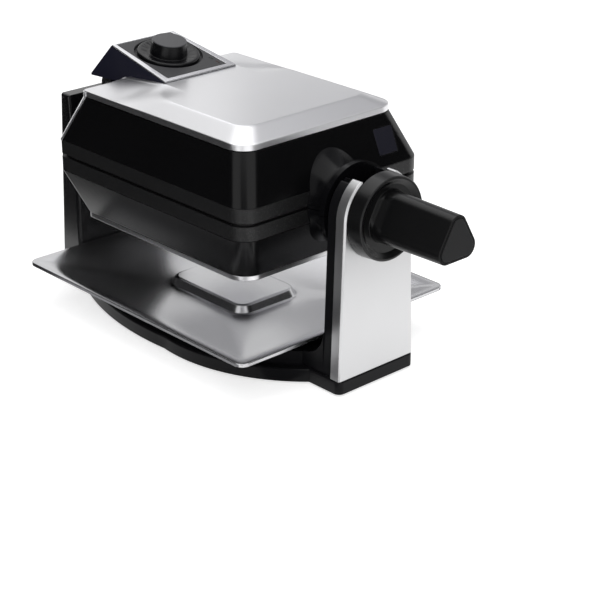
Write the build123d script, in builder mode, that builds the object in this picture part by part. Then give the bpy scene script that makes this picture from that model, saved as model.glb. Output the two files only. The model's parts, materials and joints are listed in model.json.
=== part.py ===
from build123d import *
import math
import os

os.makedirs("parts", exist_ok=True)

# Lengths along the rotating axis, from the handle tip to the back of the tower
grip_length = 74.4
flange_thickness = 15.0
flange_gap = 0.5
column_depth = 22.5
collar_gap = 4.0
collar_thickness = 5.5
boss_length = 19.9
head_length = 256.9
rear_gap = 38.7
tower_depth = 31.0
overall_length = (
    grip_length + flange_thickness + flange_gap + column_depth + collar_gap
    + collar_thickness + boss_length + head_length + rear_gap + tower_depth
)

# Places along that axis, with the origin in the middle of the whole length
y_tip = -overall_length / 2
y_flange_front = y_tip + grip_length
y_flange_back = y_flange_front + flange_thickness
y_column_front = y_flange_back + flange_gap
y_column_back = y_column_front + column_depth
y_collar_front = y_column_back + collar_gap
y_collar_back = y_collar_front + collar_thickness
y_head_front = y_collar_back + boss_length
y_head_back = y_head_front + head_length
y_head_mid = (y_head_front + y_head_back) / 2
y_tower_front = y_head_back + rear_gap
y_tower_back = y_tower_front + tower_depth

# The rotating head, with heights counted from its axis
axis_height = 157.5
parting_gap = 3.0
split_gap = 0.6
head_width = 214.0
head_corner = 18.0
back_corner = 5.0
band_height = 13.2
band_wall = 4.0
band_groove = 0.6
shell_height = 41.2
shell_wall = 2.6
shell_side_inset = 15.7
shell_end_inset = 18.0
cover_sheet = 1.2
cover_corner = 19.0
lip_height = 6.2
lower_lip = 4.4
crown_height = 8.7
crown_inset = 19.0
crown_corner = 14.5
apron_sheet = 1.0
apron_reach = 6.5
cover_width = head_width - 2 * shell_side_inset
cover_length = head_length - 2 * shell_end_inset
crown_width = cover_width - 2 * crown_inset
crown_length = cover_length - 2 * crown_inset
h_band_bottom = parting_gap / 2
h_band_top = h_band_bottom + band_height
h_shell_top = h_band_top + shell_height
h_lip_top = h_shell_top + lip_height
h_crown_top = h_lip_top + crown_height
head_plane = Plane(origin=(0, y_head_mid, axis_height))
axis_line = Axis((0, 0, axis_height), (0, 1, 0))
mid_plane = Plane.XY.offset(axis_height)

# Neck, journal and handle
journal_radius = 17.3
journal_clearance = 0.06
collar_radius = 39.5
boss_radius = 32.0
flare_delay = 6.5
flare_radius = 36.0
flare_angle = 60.0
flange_radius = 38.3
flange_front_radius = 37.3
flange_rim = 2.6
flange_edge = 1.0
dish_depth = 3.5
core_radius = 4.5
core_clearance = 0.1
core_rise = 8.0
core_grip_reach = 62.0
core_neck_reach = 17.0
grip_root_radius = 24.8
grip_tip_radius = 23.5
grip_rounding = 10.0
grip_rise = 1.2
root_spread = 9.0
end_cap_inset = 2.4
end_cap_depth = 2.4
end_cap_proud = 0.8
end_cap_gap = 0.4

# Front column
foot_half_width = 46.3
foot_lead = 1.0
foot_corner = 6.0
skirt_top = 14.1
column_half_width = 45.3
column_head_radius = 40.0
plate_thickness = 3.0
plate_side = 2.0
plate_strip = 11.0
plate_bevel = 1.5
plate_slot = 18.2
bush_wall = 2.5
bush_clearance = 0.1
pillar_fit = 0.1
root_height = 39.0
root_reach = 25.0
horn_rounding = 2.5
bush_rise = 31.5
pocket_margin = 15.0
pocket_height = 70.0

# Base and feet
foot_pad_height = 2.0
foot_pad_radius = 8.0
bottom_sheet = 2.5
base_wall = 3.0
barrel_half_width = 97.0
barrel_middle_share = 0.45
barrel_shoulder = 85.0
barrel_shoulder_share = 0.177
barrel_tail = 88.5
barrel_tail_share = 0.771
tail_half_width = 63.5
tail_lead = 4.0
plinth_step = 10.0
plinth_gap = 0.3
base_fit = 0.2
screw_radius = 2.0
screw_head_radius = 3.6
screw_head_height = 1.4
screw_boss_radius = 4.5
screw_shift = 14.0
foot_front_x = 30.0
foot_middle_x = 78.0
foot_back_x = 46.0
foot_inset = 16.0
skirt_bevel = 1.0

# Drip tray
tray_width = 250.0
tray_corner = 9.0
tray_rim_top = 44.0
tray_hem = 3.2
tray_sheet = 1.0
tray_rim = 4.0
tray_floor_depth = 16.0
tray_floor_margin = 11.0
plateau_width = 67.0
plateau_length = 101.0
plateau_height = 8.0
plateau_corner = 9.0
plateau_draft = 1.2
tray_rest_gap = 0.1
tray_back_gap = 0.9
column_to_tray = 13.0
y_tray_front = y_column_back + column_to_tray
y_tray_back = y_tower_front - tray_back_gap
y_tray_mid = (y_tray_front + y_tray_back) / 2
tray_length = y_tray_back - y_tray_front
z_tray_floor = tray_rim_top - tray_floor_depth

# Rear tower and bearing
tower_half_width = 62.5
tower_top = 192.8
tower_heel = 16.0
tower_lean_start = 92.0
tower_front_lean = 7.5
tower_back_lean = 10.2
tower_wall = 3.0
tower_corner = 4.0
back_cover_half_width = 48.0
back_cover_bottom = 34.0
back_cover_height = 146.0
back_cover_fit = 0.3
shaft_radius = 14.0
shaft_bore = 8.0
shaft_clearance = 0.06
bearing_wall = 4.0
bearing_flange = 3.0
bearing_flange_radius = 24.0
bearing_length = 12.0
bearing_boss_lead = 2.2
bearing_boss_margin = 1.0
bearing_fit = 0.05
shaft_end_gap = 3.5
gland_radius = 7.0
gland_bore = 3.5
gland_height = 52.0
gland_length = 9.0
gland_fit = 0.1
gland_chamfer = 0.8
collar_ring_radius = 19.0
collar_ring_width = 4.0
collar_ring_gap = 0.6

# Hinge between the two halves, behind and above the head
hinge_back = 25.7
hinge_rise = 45.5
hinge_radius = 8.0
hinge_pin_radius = 3.0
hinge_pin_clearance = 0.05
leaf_half_width = 20.7
arm_gap = 0.8
arm_width = 10.0
bracket_gap = 3.5
bracket_sheet = 6.2
bracket_half_width = 36.0
bracket_drop = 49.0
bracket_boss_radius = 22.0
bracket_boss = 7.0
arm_foot_drop = 7.5
arm_shoulder = 14.0
arm_heel = 1.0
arm_heel_drop = 18.0
pad_width = 12.0
leaf_sheet = 3.0
leaf_tab = 23.0

# Control housing, dial and knob
housing_setback = 59.3
panel_lift = 1.8
panel_tilt = 10.4
panel_length = 86.4
housing_front_half = 42.0
housing_back_half = 36.5
housing_tail_half = 41.0
housing_wall = 2.5
housing_back_wall = 4.0
housing_tail_wall = 6.0
housing_tail = 28.8
housing_tail_top = 10.4
housing_floor = 8.5
slab_thickness = 6.0
frame_depth = 1.6
frame_front = 5.0
frame_side_front = 7.2
frame_side_back = 4.4
frame_back = 1.6
panel_fit = 0.1
fairing_spread = 18.0
fairing_top = 2.0
fairing_fall = 6.9
knob_place = 47.8
well_radius = 32.1
well_depth = 3.5
skirt_radius = 29.3
skirt_lip = 2.6
skirt_top_height = 1.9
skirt_edge = 1.0
skirt_floor = 2.0
knob_radius = 16.0
knob_flare = 1.6
knob_height = 13.3
knob_cap_height = 1.0
knob_float = 0.3
knob_shaft_radius = 3.0
knob_shaft_length = 14.0
knob_shaft_clearance = 0.1
lamp_width = 1.8
lamp_length = 5.2
lamp_depth = 2.0
lamp_inset = 5.4
lamp_lead = 6.2
lamp_pitch = 9.4
thermostat_radius = 13.0
thermostat_height = 8.0

# Release buttons
button_width = 22.3
button_height = 23.6
button_thickness = 4.0
button_fit = 0.5
button_corner = 2.0
button_x = 68.0
button_up = 21.8

# Cooking plates and heaters
plate_flange_fit = 0.3
plate_flange = 5.2
plate_side_margin = 15.0
plate_end_margin = 14.45
plate_block_height = 12.5
plate_block_corner = 14.0
cavity_side = 8.0
cavity_end = 6.0
cavity_web = 8.0
cavity_depth = 11.0
cavity_corner = 6.0
cavity_draft = 12.0
stud_size = 12.0
stud_height = 8.4
stud_draft = 14.0
studs_across = 7
studs_along = 4
heater_radius = 3.3
heater_gap = 0.3
heater_side = 24.0
heater_end = 22.0
heater_bend = 18.0
shield_sheet = 0.8
shield_gap = 1.0
shield_height = 22.0


def facing_front(y):
    return Plane.XZ.offset(-y)


def head_outline(width, length, front_radius, back_radius):
    with BuildSketch(Plane.XY) as outline:
        Rectangle(width, length)
        fillet(outline.vertices().group_by(Axis.Y)[0], front_radius)
        fillet(outline.vertices().group_by(Axis.Y)[-1], back_radius)
    return outline.sketch


def band_outline(grow):
    return head_outline(
        head_width + 2 * grow, head_length + 2 * grow, head_corner + grow, back_corner + grow
    )


def cover_outline(grow):
    return head_outline(
        cover_width + 2 * grow, cover_length + 2 * grow, cover_corner + grow, back_corner + grow
    )


def crown_outline(grow):
    return head_outline(
        crown_width + 2 * grow, crown_length + 2 * grow, crown_corner + grow, back_corner + grow
    )


# Solid outer forms, used to trim what meets the head
with BuildPart() as upper_head_form:
    with BuildSketch(head_plane):
        add(band_outline(0))
    extrude(amount=h_band_top)
    with BuildSketch(head_plane.offset(h_band_top)):
        add(band_outline(0))
    with BuildSketch(head_plane.offset(h_shell_top)):
        add(cover_outline(0))
    loft(ruled=True)

# Tilted plane of the dial panel, with its origin at the front edge
y_cover_back = y_head_back - shell_end_inset
y_panel = y_cover_back - housing_setback
z_panel = axis_height + h_crown_top + panel_lift
tilt = math.radians(panel_tilt)
panel_plane = Plane(
    origin=(0, y_panel, z_panel),
    x_dir=(1, 0, 0),
    z_dir=(0, -math.sin(tilt), math.cos(tilt)),
)
y_panel_back = y_panel + panel_length * math.cos(tilt)
z_panel_back = z_panel + panel_length * math.sin(tilt)
y_hinge = y_head_back + hinge_back
z_hinge = axis_height + hinge_rise
z_housing_floor = z_hinge + housing_floor
y_housing_tail = y_panel_back + housing_tail

# Outer form of the control housing
with BuildPart() as housing_form:
    with BuildSketch(Plane.YZ):
        with BuildLine():
            Polyline(
                (y_panel, z_panel),
                (y_panel_back, z_panel_back),
                (y_housing_tail, z_hinge + housing_tail_top),
                (y_housing_tail, z_housing_floor),
                (y_cover_back + 2 * housing_wall + apron_sheet, z_housing_floor),
                (y_cover_back - housing_wall, z_panel - slab_thickness - housing_wall),
                (y_panel, z_panel - slab_thickness - housing_wall),
                close=True,
            )
        make_face()
    extrude(amount=housing_front_half, both=True)
    with BuildSketch(Plane.XY):
        with BuildLine():
            Polyline(
                (-housing_front_half, y_panel),
                (housing_front_half, y_panel),
                (housing_back_half, y_panel_back),
                (housing_tail_half, y_housing_tail),
                (-housing_tail_half, y_housing_tail),
                (-housing_back_half, y_panel_back),
                close=True,
            )
        make_face()
    extrude(amount=2 * z_panel_back, mode=Mode.INTERSECT)

# Upper band, the matt frame beside the parting line
with BuildPart() as upper_band:
    with BuildSketch(head_plane.offset(h_band_bottom)):
        add(band_outline(0))
        add(band_outline(-band_wall), mode=Mode.SUBTRACT)
    extrude(amount=band_height)
    chamfer(upper_band.faces().sort_by(Axis.Z)[-1].outer_wire().edges(), band_groove)
upper_band.part.label = "upper_band"
export_step(upper_band.part, "parts/upper_band.step")

# Lower band
with BuildPart() as lower_band:
    mirror(upper_band.part, about=mid_plane)
lower_band.part.label = "lower_band"
export_step(lower_band.part, "parts/lower_band.step")

# Sloped front face of the upper shell, where the release button sits
front_face = Plane(
    origin=(0, y_head_front, axis_height + h_band_top),
    x_dir=(1, 0, 0),
    z_dir=(0, -shell_height, shell_end_inset),
)

# Upper shell with its button window
with BuildPart() as upper_shell:
    with BuildSketch(head_plane.offset(h_band_top)):
        add(band_outline(0))
    with BuildSketch(head_plane.offset(h_shell_top)):
        add(cover_outline(0))
    loft(ruled=True)
    with BuildSketch(head_plane.offset(h_band_top)):
        add(band_outline(-shell_wall))
    with BuildSketch(head_plane.offset(h_shell_top)):
        add(cover_outline(-shell_wall))
    loft(ruled=True, mode=Mode.SUBTRACT)
    with BuildSketch(front_face):
        with Locations((button_x, button_up)):
            RectangleRounded(
                button_width + 2 * button_fit,
                button_height + 2 * button_fit,
                button_corner + button_fit,
            )
    extrude(amount=4 * shell_wall, both=True, mode=Mode.SUBTRACT)
upper_shell.part.label = "upper_shell"
export_step(upper_shell.part, "parts/upper_shell.step")

# Lower shell, the same moulding turned over
with BuildPart() as lower_shell:
    mirror(upper_shell.part, about=mid_plane)
lower_shell.part.label = "lower_shell"
export_step(lower_shell.part, "parts/lower_shell.step")

# Release button in the upper shell, with a guide plug behind it
with BuildPart() as upper_release_button:
    with BuildSketch(front_face):
        with Locations((button_x, button_up)):
            RectangleRounded(button_width, button_height, button_corner)
    extrude(amount=-button_thickness)
    fillet(upper_release_button.faces().sort_by(Axis.Y)[0].edges(), button_fit)
upper_release_button.part.label = "upper_release_button"
export_step(upper_release_button.part, "parts/upper_release_button.step")

# Release button in the lower shell
with BuildPart() as lower_release_button:
    mirror(upper_release_button.part, about=mid_plane)
lower_release_button.part.label = "lower_release_button"
export_step(lower_release_button.part, "parts/lower_release_button.step")

# Outer and inner forms of the metal covers
with BuildPart() as cover_block:
    with BuildSketch(head_plane.offset(h_shell_top)):
        add(cover_outline(0))
    extrude(amount=lip_height)
    with BuildSketch(head_plane.offset(h_lip_top)):
        add(cover_outline(0))
    with BuildSketch(head_plane.offset(h_crown_top)):
        add(crown_outline(0))
    loft(ruled=True)
with BuildPart() as cover_hollow:
    with BuildSketch(head_plane.offset(h_shell_top)):
        add(cover_outline(-cover_sheet))
    extrude(amount=lip_height - cover_sheet / 2)
    with BuildSketch(head_plane.offset(h_lip_top - cover_sheet / 2)):
        add(cover_outline(-cover_sheet))
    with BuildSketch(head_plane.offset(h_crown_top - cover_sheet)):
        add(crown_outline(-cover_sheet))
    loft(ruled=True)

# Plain metal cover of the lower half, with a narrower lip
lower_plane = mid_plane.offset((lip_height - lower_lip) / 2)
with BuildPart() as lower_cover:
    mirror(cover_block.part, about=lower_plane)
    mirror(cover_hollow.part, about=lower_plane, mode=Mode.SUBTRACT)
    split(bisect_by=mid_plane.offset(-h_shell_top), keep=Keep.BOTTOM)
lower_cover.part.label = "lower_cover"
export_step(lower_cover.part, "parts/lower_cover.step")

# Metal apron that runs down the sloped back of the shell
back_slope = Plane(
    origin=(0, y_head_back - apron_reach, axis_height + h_band_top),
    x_dir=(1, 0, 0),
    z_dir=(0, shell_height, shell_end_inset),
)
with BuildPart() as apron:
    with BuildSketch(head_plane.offset(h_band_top)):
        add(band_outline(apron_sheet))
    with BuildSketch(head_plane.offset(h_shell_top)):
        add(cover_outline(apron_sheet))
    loft(ruled=True)
    with BuildSketch(head_plane.offset(h_shell_top)):
        add(cover_outline(apron_sheet))
    extrude(amount=lip_height)
    add(upper_head_form.part, mode=Mode.SUBTRACT)
    with BuildSketch(head_plane.offset(h_shell_top)):
        add(cover_outline(0))
    extrude(amount=lip_height, mode=Mode.SUBTRACT)
    split(bisect_by=back_slope, keep=Keep.TOP)

# Raised seat of the housing, which falls towards the back
fairing_slope = Plane(
    origin=(0, y_panel, axis_height + h_crown_top + fairing_top),
    x_dir=(1, 0, 0),
    z_dir=(0, fairing_fall, housing_setback),
)
with BuildPart() as fairing:
    with BuildSketch(Plane.XY.offset(axis_height + h_lip_top)):
        with BuildLine():
            Polyline(
                (-housing_front_half - fairing_spread, y_panel - fairing_spread / 2),
                (housing_front_half + fairing_spread, y_panel - fairing_spread / 2),
                (housing_front_half + fairing_spread, y_cover_back),
                (-housing_front_half - fairing_spread, y_cover_back),
                close=True,
            )
        make_face()
    with BuildSketch(Plane.XY.offset(axis_height + h_crown_top + fairing_top)):
        with BuildLine():
            Polyline(
                (-housing_front_half - cover_sheet, y_panel - cover_sheet),
                (housing_front_half + cover_sheet, y_panel - cover_sheet),
                (housing_front_half + cover_sheet, y_cover_back - cover_sheet),
                (-housing_front_half - cover_sheet, y_cover_back - cover_sheet),
                close=True,
            )
        make_face()
    loft(ruled=True)
    split(bisect_by=fairing_slope, keep=Keep.BOTTOM)
    add(cover_block.part, mode=Mode.SUBTRACT)

# Upper metal cover with the apron and the raised seat
with BuildPart() as upper_cover:
    add(cover_block.part)
    add(cover_hollow.part, mode=Mode.SUBTRACT)
    add(apron.part)
    add(fairing.part)
    add(housing_form.part, mode=Mode.SUBTRACT)
upper_cover.part.label = "upper_cover"
export_step(upper_cover.part, "parts/upper_cover.step")

# Outline of the dark panel inside its frame
frame_front_half = housing_front_half - frame_side_front
frame_back_half = housing_back_half - frame_side_back
lamp_places = [
    (frame_front_half - lamp_inset, frame_front + lamp_lead),
    (frame_front_half - lamp_inset, frame_front + lamp_lead + lamp_pitch),
]


def panel_outline(shrink):
    with BuildSketch(Plane.XY) as outline:
        with BuildLine():
            Polyline(
                (-frame_front_half + shrink, frame_front + shrink),
                (frame_front_half - shrink, frame_front + shrink),
                (frame_back_half - shrink, panel_length - frame_back - shrink),
                (-frame_back_half + shrink, panel_length - frame_back - shrink),
                close=True,
            )
        make_face()
    return outline.sketch


# Control housing, a hollow moulding with a pocket for the panel
with BuildPart() as control_housing:
    add(housing_form.part)
    split(bisect_by=panel_plane.offset(-frame_depth), keep=Keep.BOTTOM)
    with BuildSketch(panel_plane):
        add(panel_outline(0))
    extrude(amount=-slab_thickness, mode=Mode.SUBTRACT)
    with BuildSketch(Plane.YZ):
        with BuildLine():
            Polyline(
                (y_panel + housing_wall, z_panel - slab_thickness - housing_wall / 2),
                (
                    y_panel_back - housing_wall,
                    z_panel_back - slab_thickness - housing_back_wall,
                ),
                (y_housing_tail - housing_tail_wall, z_housing_floor + housing_wall),
                (y_cover_back + 3 * housing_wall, z_housing_floor + housing_wall),
                (y_cover_back, z_panel - slab_thickness - housing_wall / 2),
                close=True,
            )
        make_face()
    extrude(amount=housing_back_half - 2 * housing_wall, both=True, mode=Mode.SUBTRACT)
    with BuildSketch(panel_plane.offset(-slab_thickness)):
        with Locations((0, knob_place)):
            Circle(thermostat_radius + panel_fit)
    extrude(amount=-thermostat_height, mode=Mode.SUBTRACT)
control_housing.part.label = "control_housing"
export_step(control_housing.part, "parts/control_housing.step")

# Bright frame round the dial panel
with BuildPart() as dial_frame:
    add(housing_form.part)
    split(bisect_by=panel_plane.offset(-frame_depth), keep=Keep.TOP)
    with BuildSketch(panel_plane):
        add(panel_outline(0))
    extrude(amount=-slab_thickness, mode=Mode.SUBTRACT)
dial_frame.part.label = "dial_frame"
export_step(dial_frame.part, "parts/dial_frame.step")

# Dark dial panel with the round well of the knob
with BuildPart() as dial_panel:
    with BuildSketch(panel_plane):
        add(panel_outline(panel_fit))
    extrude(amount=-slab_thickness)
    with BuildSketch(panel_plane):
        with Locations((0, knob_place)):
            Circle(well_radius)
    extrude(amount=-well_depth, mode=Mode.SUBTRACT)
    with BuildSketch(panel_plane):
        with Locations((0, knob_place)):
            Circle(knob_shaft_radius + knob_shaft_clearance)
    extrude(amount=-2 * slab_thickness, mode=Mode.SUBTRACT)
    with BuildSketch(panel_plane):
        with Locations(*lamp_places):
            Rectangle(lamp_width, lamp_length)
    extrude(amount=-lamp_depth, mode=Mode.SUBTRACT)
dial_panel.part.label = "dial_panel"
export_step(dial_panel.part, "parts/dial_panel.step")

# Two small lamps set flush in the panel
for number, place in enumerate(lamp_places, start=1):
    with BuildPart() as lamp:
        with BuildSketch(panel_plane.offset(-lamp_depth)):
            with Locations(place):
                Rectangle(lamp_width, lamp_length)
        extrude(amount=lamp_depth)
    lamp.part.label = f"indicator_lamp_{number}"
    export_step(lamp.part, f"parts/indicator_lamp_{number}.step")

# Knob centre and its turning axis
knob_centre = panel_plane.from_local_coords((0, knob_place, 0))
knob_axis = Axis(tuple(knob_centre), tuple(panel_plane.z_dir))
knob_plane = Plane(
    origin=tuple(knob_centre),
    x_dir=(1, 0, 0),
    z_dir=(0, -math.cos(tilt), -math.sin(tilt)),
)

# Thermostat switch below the panel
with BuildPart() as thermostat_body:
    with BuildSketch(panel_plane.offset(-slab_thickness)):
        with Locations((0, knob_place)):
            Circle(thermostat_radius)
            Circle(knob_shaft_radius + knob_shaft_clearance, mode=Mode.SUBTRACT)
    extrude(amount=-thermostat_height)
thermostat_body.part.label = "thermostat_body"
export_step(thermostat_body.part, "parts/thermostat_body.step")

# Thermostat knob with its dished skirt and shaft
with BuildPart() as thermostat_knob:
    with BuildSketch(knob_plane):
        with BuildLine():
            Polyline(
                (0, -knob_shaft_length),
                (knob_shaft_radius, -knob_shaft_length),
                (knob_shaft_radius, knob_float - well_depth),
                (skirt_radius - skirt_edge, knob_float - well_depth),
                (skirt_radius, knob_float - well_depth + skirt_edge),
                (skirt_radius, skirt_top_height - skirt_edge),
                (skirt_radius - skirt_edge, skirt_top_height),
                (skirt_radius - skirt_lip, skirt_top_height),
                (knob_radius + knob_flare + skirt_floor, 0),
                (knob_radius + knob_flare, 0),
                (knob_radius, knob_height - knob_cap_height),
                (0, knob_height - knob_cap_height),
                close=True,
            )
        make_face()
    revolve(axis=knob_axis)
thermostat_knob.part.label = "thermostat_knob"
export_step(thermostat_knob.part, "parts/thermostat_knob.step")

# Flat cap on the knob
with BuildPart() as knob_cap:
    with BuildSketch(panel_plane.offset(knob_height - knob_cap_height)):
        with Locations((0, knob_place)):
            Circle(knob_radius)
    extrude(amount=knob_cap_height)
    chamfer(knob_cap.faces().filter_by(GeomType.PLANE).sort_by(Axis.Z)[-1].edges(), knob_cap_height / 2)
knob_cap.part.label = "knob_cap"
export_step(knob_cap.part, "parts/knob_cap.step")

# Points of the neck's outline, shared by both halves
y_flare = y_collar_back + flare_delay
flare_end_y = y_flare + flare_radius * math.sin(math.radians(flare_angle))
flare_end_r = boss_radius + flare_radius * (1 - math.cos(math.radians(flare_angle)))
flare_mid_y = y_flare + flare_radius * math.sin(math.radians(flare_angle / 2))
flare_mid_r = boss_radius + flare_radius * (1 - math.cos(math.radians(flare_angle / 2)))

# Full round neck, before it is parted and trimmed to the head
with BuildPart() as neck_form:
    with BuildSketch(Plane.YZ):
        with BuildLine():
            Polyline(
                (y_flare, axis_height + boss_radius),
                (y_collar_back, axis_height + boss_radius),
                (y_collar_back, axis_height + collar_radius),
                (y_collar_front, axis_height + collar_radius),
                (y_collar_front, axis_height + journal_radius),
                (y_flange_back, axis_height + journal_radius),
                (y_flange_back, axis_height),
                (flare_end_y, axis_height),
                (flare_end_y, axis_height + flare_end_r),
            )
            ThreePointArc(
                (flare_end_y, axis_height + flare_end_r),
                (flare_mid_y, axis_height + flare_mid_r),
                (y_flare, axis_height + boss_radius),
            )
        make_face()
    revolve(axis=axis_line)

# Upper half of the neck and journal, which lifts out with the lid
with BuildPart() as upper_neck:
    add(neck_form.part)
    split(bisect_by=mid_plane.offset(split_gap / 2), keep=Keep.TOP)
    add(upper_head_form.part, mode=Mode.SUBTRACT)
    with BuildSketch(facing_front(y_flange_back)):
        with Locations((0, axis_height + core_rise)):
            Circle(core_radius + core_clearance)
    extrude(amount=-(y_collar_back - y_flange_back + core_neck_reach), mode=Mode.SUBTRACT)
upper_neck.part.label = "upper_neck"
export_step(upper_neck.part, "parts/upper_neck.step")

# Lower half of the neck, which stays in the cradle
with BuildPart() as lower_neck:
    add(neck_form.part)
    split(bisect_by=mid_plane.offset(-split_gap / 2), keep=Keep.BOTTOM)
    split(bisect_by=facing_front(y_column_front), keep=Keep.BOTTOM)
    mirror(upper_head_form.part, about=mid_plane, mode=Mode.SUBTRACT)
lower_neck.part.label = "lower_neck"
export_step(lower_neck.part, "parts/lower_neck.step")

# Three-sided outline of the grip, whose middle sits a little above the axis
grip_height = axis_height + grip_rise


def grip_triangle(radius, rounding):
    points = [
        (radius * math.cos(math.radians(a)), grip_height + radius * math.sin(math.radians(a)))
        for a in (90, 210, 330)
    ]
    with BuildSketch(Plane.XY) as outline:
        with BuildLine():
            Polyline(*points, close=True)
        make_face()
        fillet(outline.vertices(), rounding)
    return outline.sketch


# Handle: dished flange with a three-sided grip growing out of it
y_dish = y_flange_front + dish_depth
y_root = y_flange_front - root_spread
grip_corner_radius = grip_root_radius + grip_rounding
grip_tip_corner = grip_tip_radius + grip_rounding
with BuildPart() as handle_grip:
    with BuildSketch(Plane.YZ):
        with BuildLine():
            Polyline(
                (y_flange_back, axis_height),
                (y_flange_back, axis_height + flange_radius),
                (y_flange_front + flange_edge, axis_height + flange_front_radius),
                (y_flange_front, axis_height + flange_front_radius - flange_edge),
                (y_flange_front, axis_height + flange_front_radius - flange_rim),
                (y_dish, axis_height + grip_root_radius + root_spread - dish_depth),
                (y_dish, axis_height),
                close=True,
            )
        make_face()
    revolve(axis=axis_line)
    with BuildSketch(facing_front(y_dish)):
        add(grip_triangle(grip_corner_radius + root_spread, grip_rounding + root_spread))
    with BuildSketch(facing_front(y_flange_front)):
        add(grip_triangle(grip_corner_radius + root_spread / 3, grip_rounding + root_spread / 3))
    with BuildSketch(facing_front(y_root)):
        add(grip_triangle(grip_corner_radius, grip_rounding))
    loft(ruled=True)
    with BuildSketch(facing_front(y_root)):
        add(grip_triangle(grip_corner_radius, grip_rounding))
    with BuildSketch(facing_front(y_tip + end_cap_proud)):
        add(grip_triangle(grip_tip_corner, grip_rounding))
    loft(ruled=True)
    with BuildSketch(facing_front(y_tip + end_cap_proud)):
        add(grip_triangle(grip_tip_corner - 2 * end_cap_inset, grip_rounding - end_cap_inset))
    extrude(amount=-end_cap_depth, mode=Mode.SUBTRACT)
    with BuildSketch(facing_front(y_flange_back)):
        with Locations((0, axis_height + core_rise)):
            Circle(core_radius + core_clearance)
    extrude(amount=flange_thickness + core_grip_reach, mode=Mode.SUBTRACT)
handle_grip.part.label = "handle_grip"
export_step(handle_grip.part, "parts/handle_grip.step")

# End cap let into the grip's tip
with BuildPart() as handle_end_cap:
    with BuildSketch(facing_front(y_tip)):
        add(
            grip_triangle(
                grip_tip_corner - 2 * end_cap_inset - 2 * end_cap_gap,
                grip_rounding - end_cap_inset - end_cap_gap,
            )
        )
    extrude(amount=-(end_cap_depth + end_cap_proud))
    chamfer(handle_end_cap.faces().sort_by(Axis.Y)[0].edges(), end_cap_proud / 2)
handle_end_cap.part.label = "handle_end_cap"
export_step(handle_end_cap.part, "parts/handle_end_cap.step")

# Steel core rod that ties the grip to the upper neck
with BuildPart() as handle_core:
    with BuildSketch(facing_front(y_flange_front - core_grip_reach)):
        with Locations((0, axis_height + core_rise)):
            Circle(core_radius)
    extrude(amount=-(core_grip_reach + y_collar_back - y_flange_front + core_neck_reach))
handle_core.part.label = "handle_core"
export_step(handle_core.part, "parts/handle_core.step")


def column_outline(shrink, slot):
    with BuildSketch(Plane.XY) as outline:
        with BuildLine():
            Polyline(
                (-column_half_width + shrink, skirt_top),
                (column_half_width - shrink, skirt_top),
                (column_head_radius - shrink, axis_height),
                (-column_head_radius + shrink, axis_height),
                close=True,
            )
        make_face()
        with Locations((0, axis_height)):
            Circle(column_head_radius - shrink)
            if slot > 0:
                Circle(slot, mode=Mode.SUBTRACT)
        if slot > 0:
            with Locations((0, axis_height + column_head_radius)):
                Rectangle(2 * slot, 2 * column_head_radius, mode=Mode.SUBTRACT)
            fillet(outline.vertices().sort_by(Axis.Y)[-2:], horn_rounding)
    return outline.sketch


# Outline of the slot and the liner that the journal turns in
bush_inner = journal_radius + journal_clearance
bush_outer = bush_inner + bush_wall
pillar_slot = bush_outer + bush_clearance

# Stainless face plate: a shallow channel with an open cradle at its top
with BuildPart() as column_face_plate:
    with BuildSketch(facing_front(y_column_front)):
        add(column_outline(0, plate_slot))
    extrude(amount=-plate_strip)
    with BuildSketch(facing_front(y_column_front + plate_thickness)):
        add(column_outline(plate_side, 0))
    extrude(amount=-plate_strip, mode=Mode.SUBTRACT)
    plate_front = column_face_plate.faces().sort_by(Axis.Y)[0].edges()
    chamfer(plate_front.filter_by(lambda edge: abs(edge.center().X) > pillar_slot), plate_bevel)
column_face_plate.part.label = "column_face_plate"
export_step(column_face_plate.part, "parts/column_face_plate.step")

# Places of the pillar and its root
y_pillar_front = y_column_front + plate_thickness + pillar_fit
root_top = skirt_top + root_height
y_root_back = y_column_back + root_reach

# Pillar behind the face plate, swept into the base at its root
with BuildPart() as column_pillar:
    with BuildSketch(facing_front(y_pillar_front)):
        add(column_outline(plate_side + pillar_fit, pillar_slot))
    extrude(amount=-(y_column_back - y_pillar_front))
    with BuildSketch(Plane.YZ):
        with BuildLine():
            Line((y_column_back, root_top), (y_column_back, skirt_top))
            Line((y_column_back, skirt_top), (y_root_back, skirt_top))
            Line((y_root_back, skirt_top), (y_root_back, root_top - root_reach))
            RadiusArc(
                (y_root_back, root_top - root_reach),
                (y_column_back, root_top),
                root_reach,
            )
        make_face()
    extrude(amount=column_half_width - plate_side - pillar_fit, both=True)
    with BuildSketch(Plane.XY.offset(skirt_top)):
        with Locations((0, (y_pillar_front + y_column_back) / 2)):
            Rectangle(
                2 * (column_half_width - pocket_margin),
                y_column_back - y_pillar_front - 2 * base_wall,
            )
    extrude(amount=pocket_height, mode=Mode.SUBTRACT)
column_pillar.part.label = "column_pillar"
export_step(column_pillar.part, "parts/column_pillar.step")

# Plastic liner of the cradle, open at the top so the journal lifts out
with BuildPart() as cradle_bush:
    with BuildSketch(facing_front(y_pillar_front)):
        with Locations((0, axis_height)):
            Circle(bush_outer)
        with Locations((0, axis_height + bush_rise / 2)):
            Rectangle(2 * bush_outer, bush_rise)
        with Locations((0, axis_height)):
            Circle(bush_inner, mode=Mode.SUBTRACT)
        with Locations((0, axis_height + bush_rise)):
            Rectangle(2 * bush_inner, 2 * bush_rise, mode=Mode.SUBTRACT)
    extrude(amount=-(y_column_back - y_pillar_front))
cradle_bush.part.label = "cradle_bush"
export_step(cradle_bush.part, "parts/cradle_bush.step")

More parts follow.
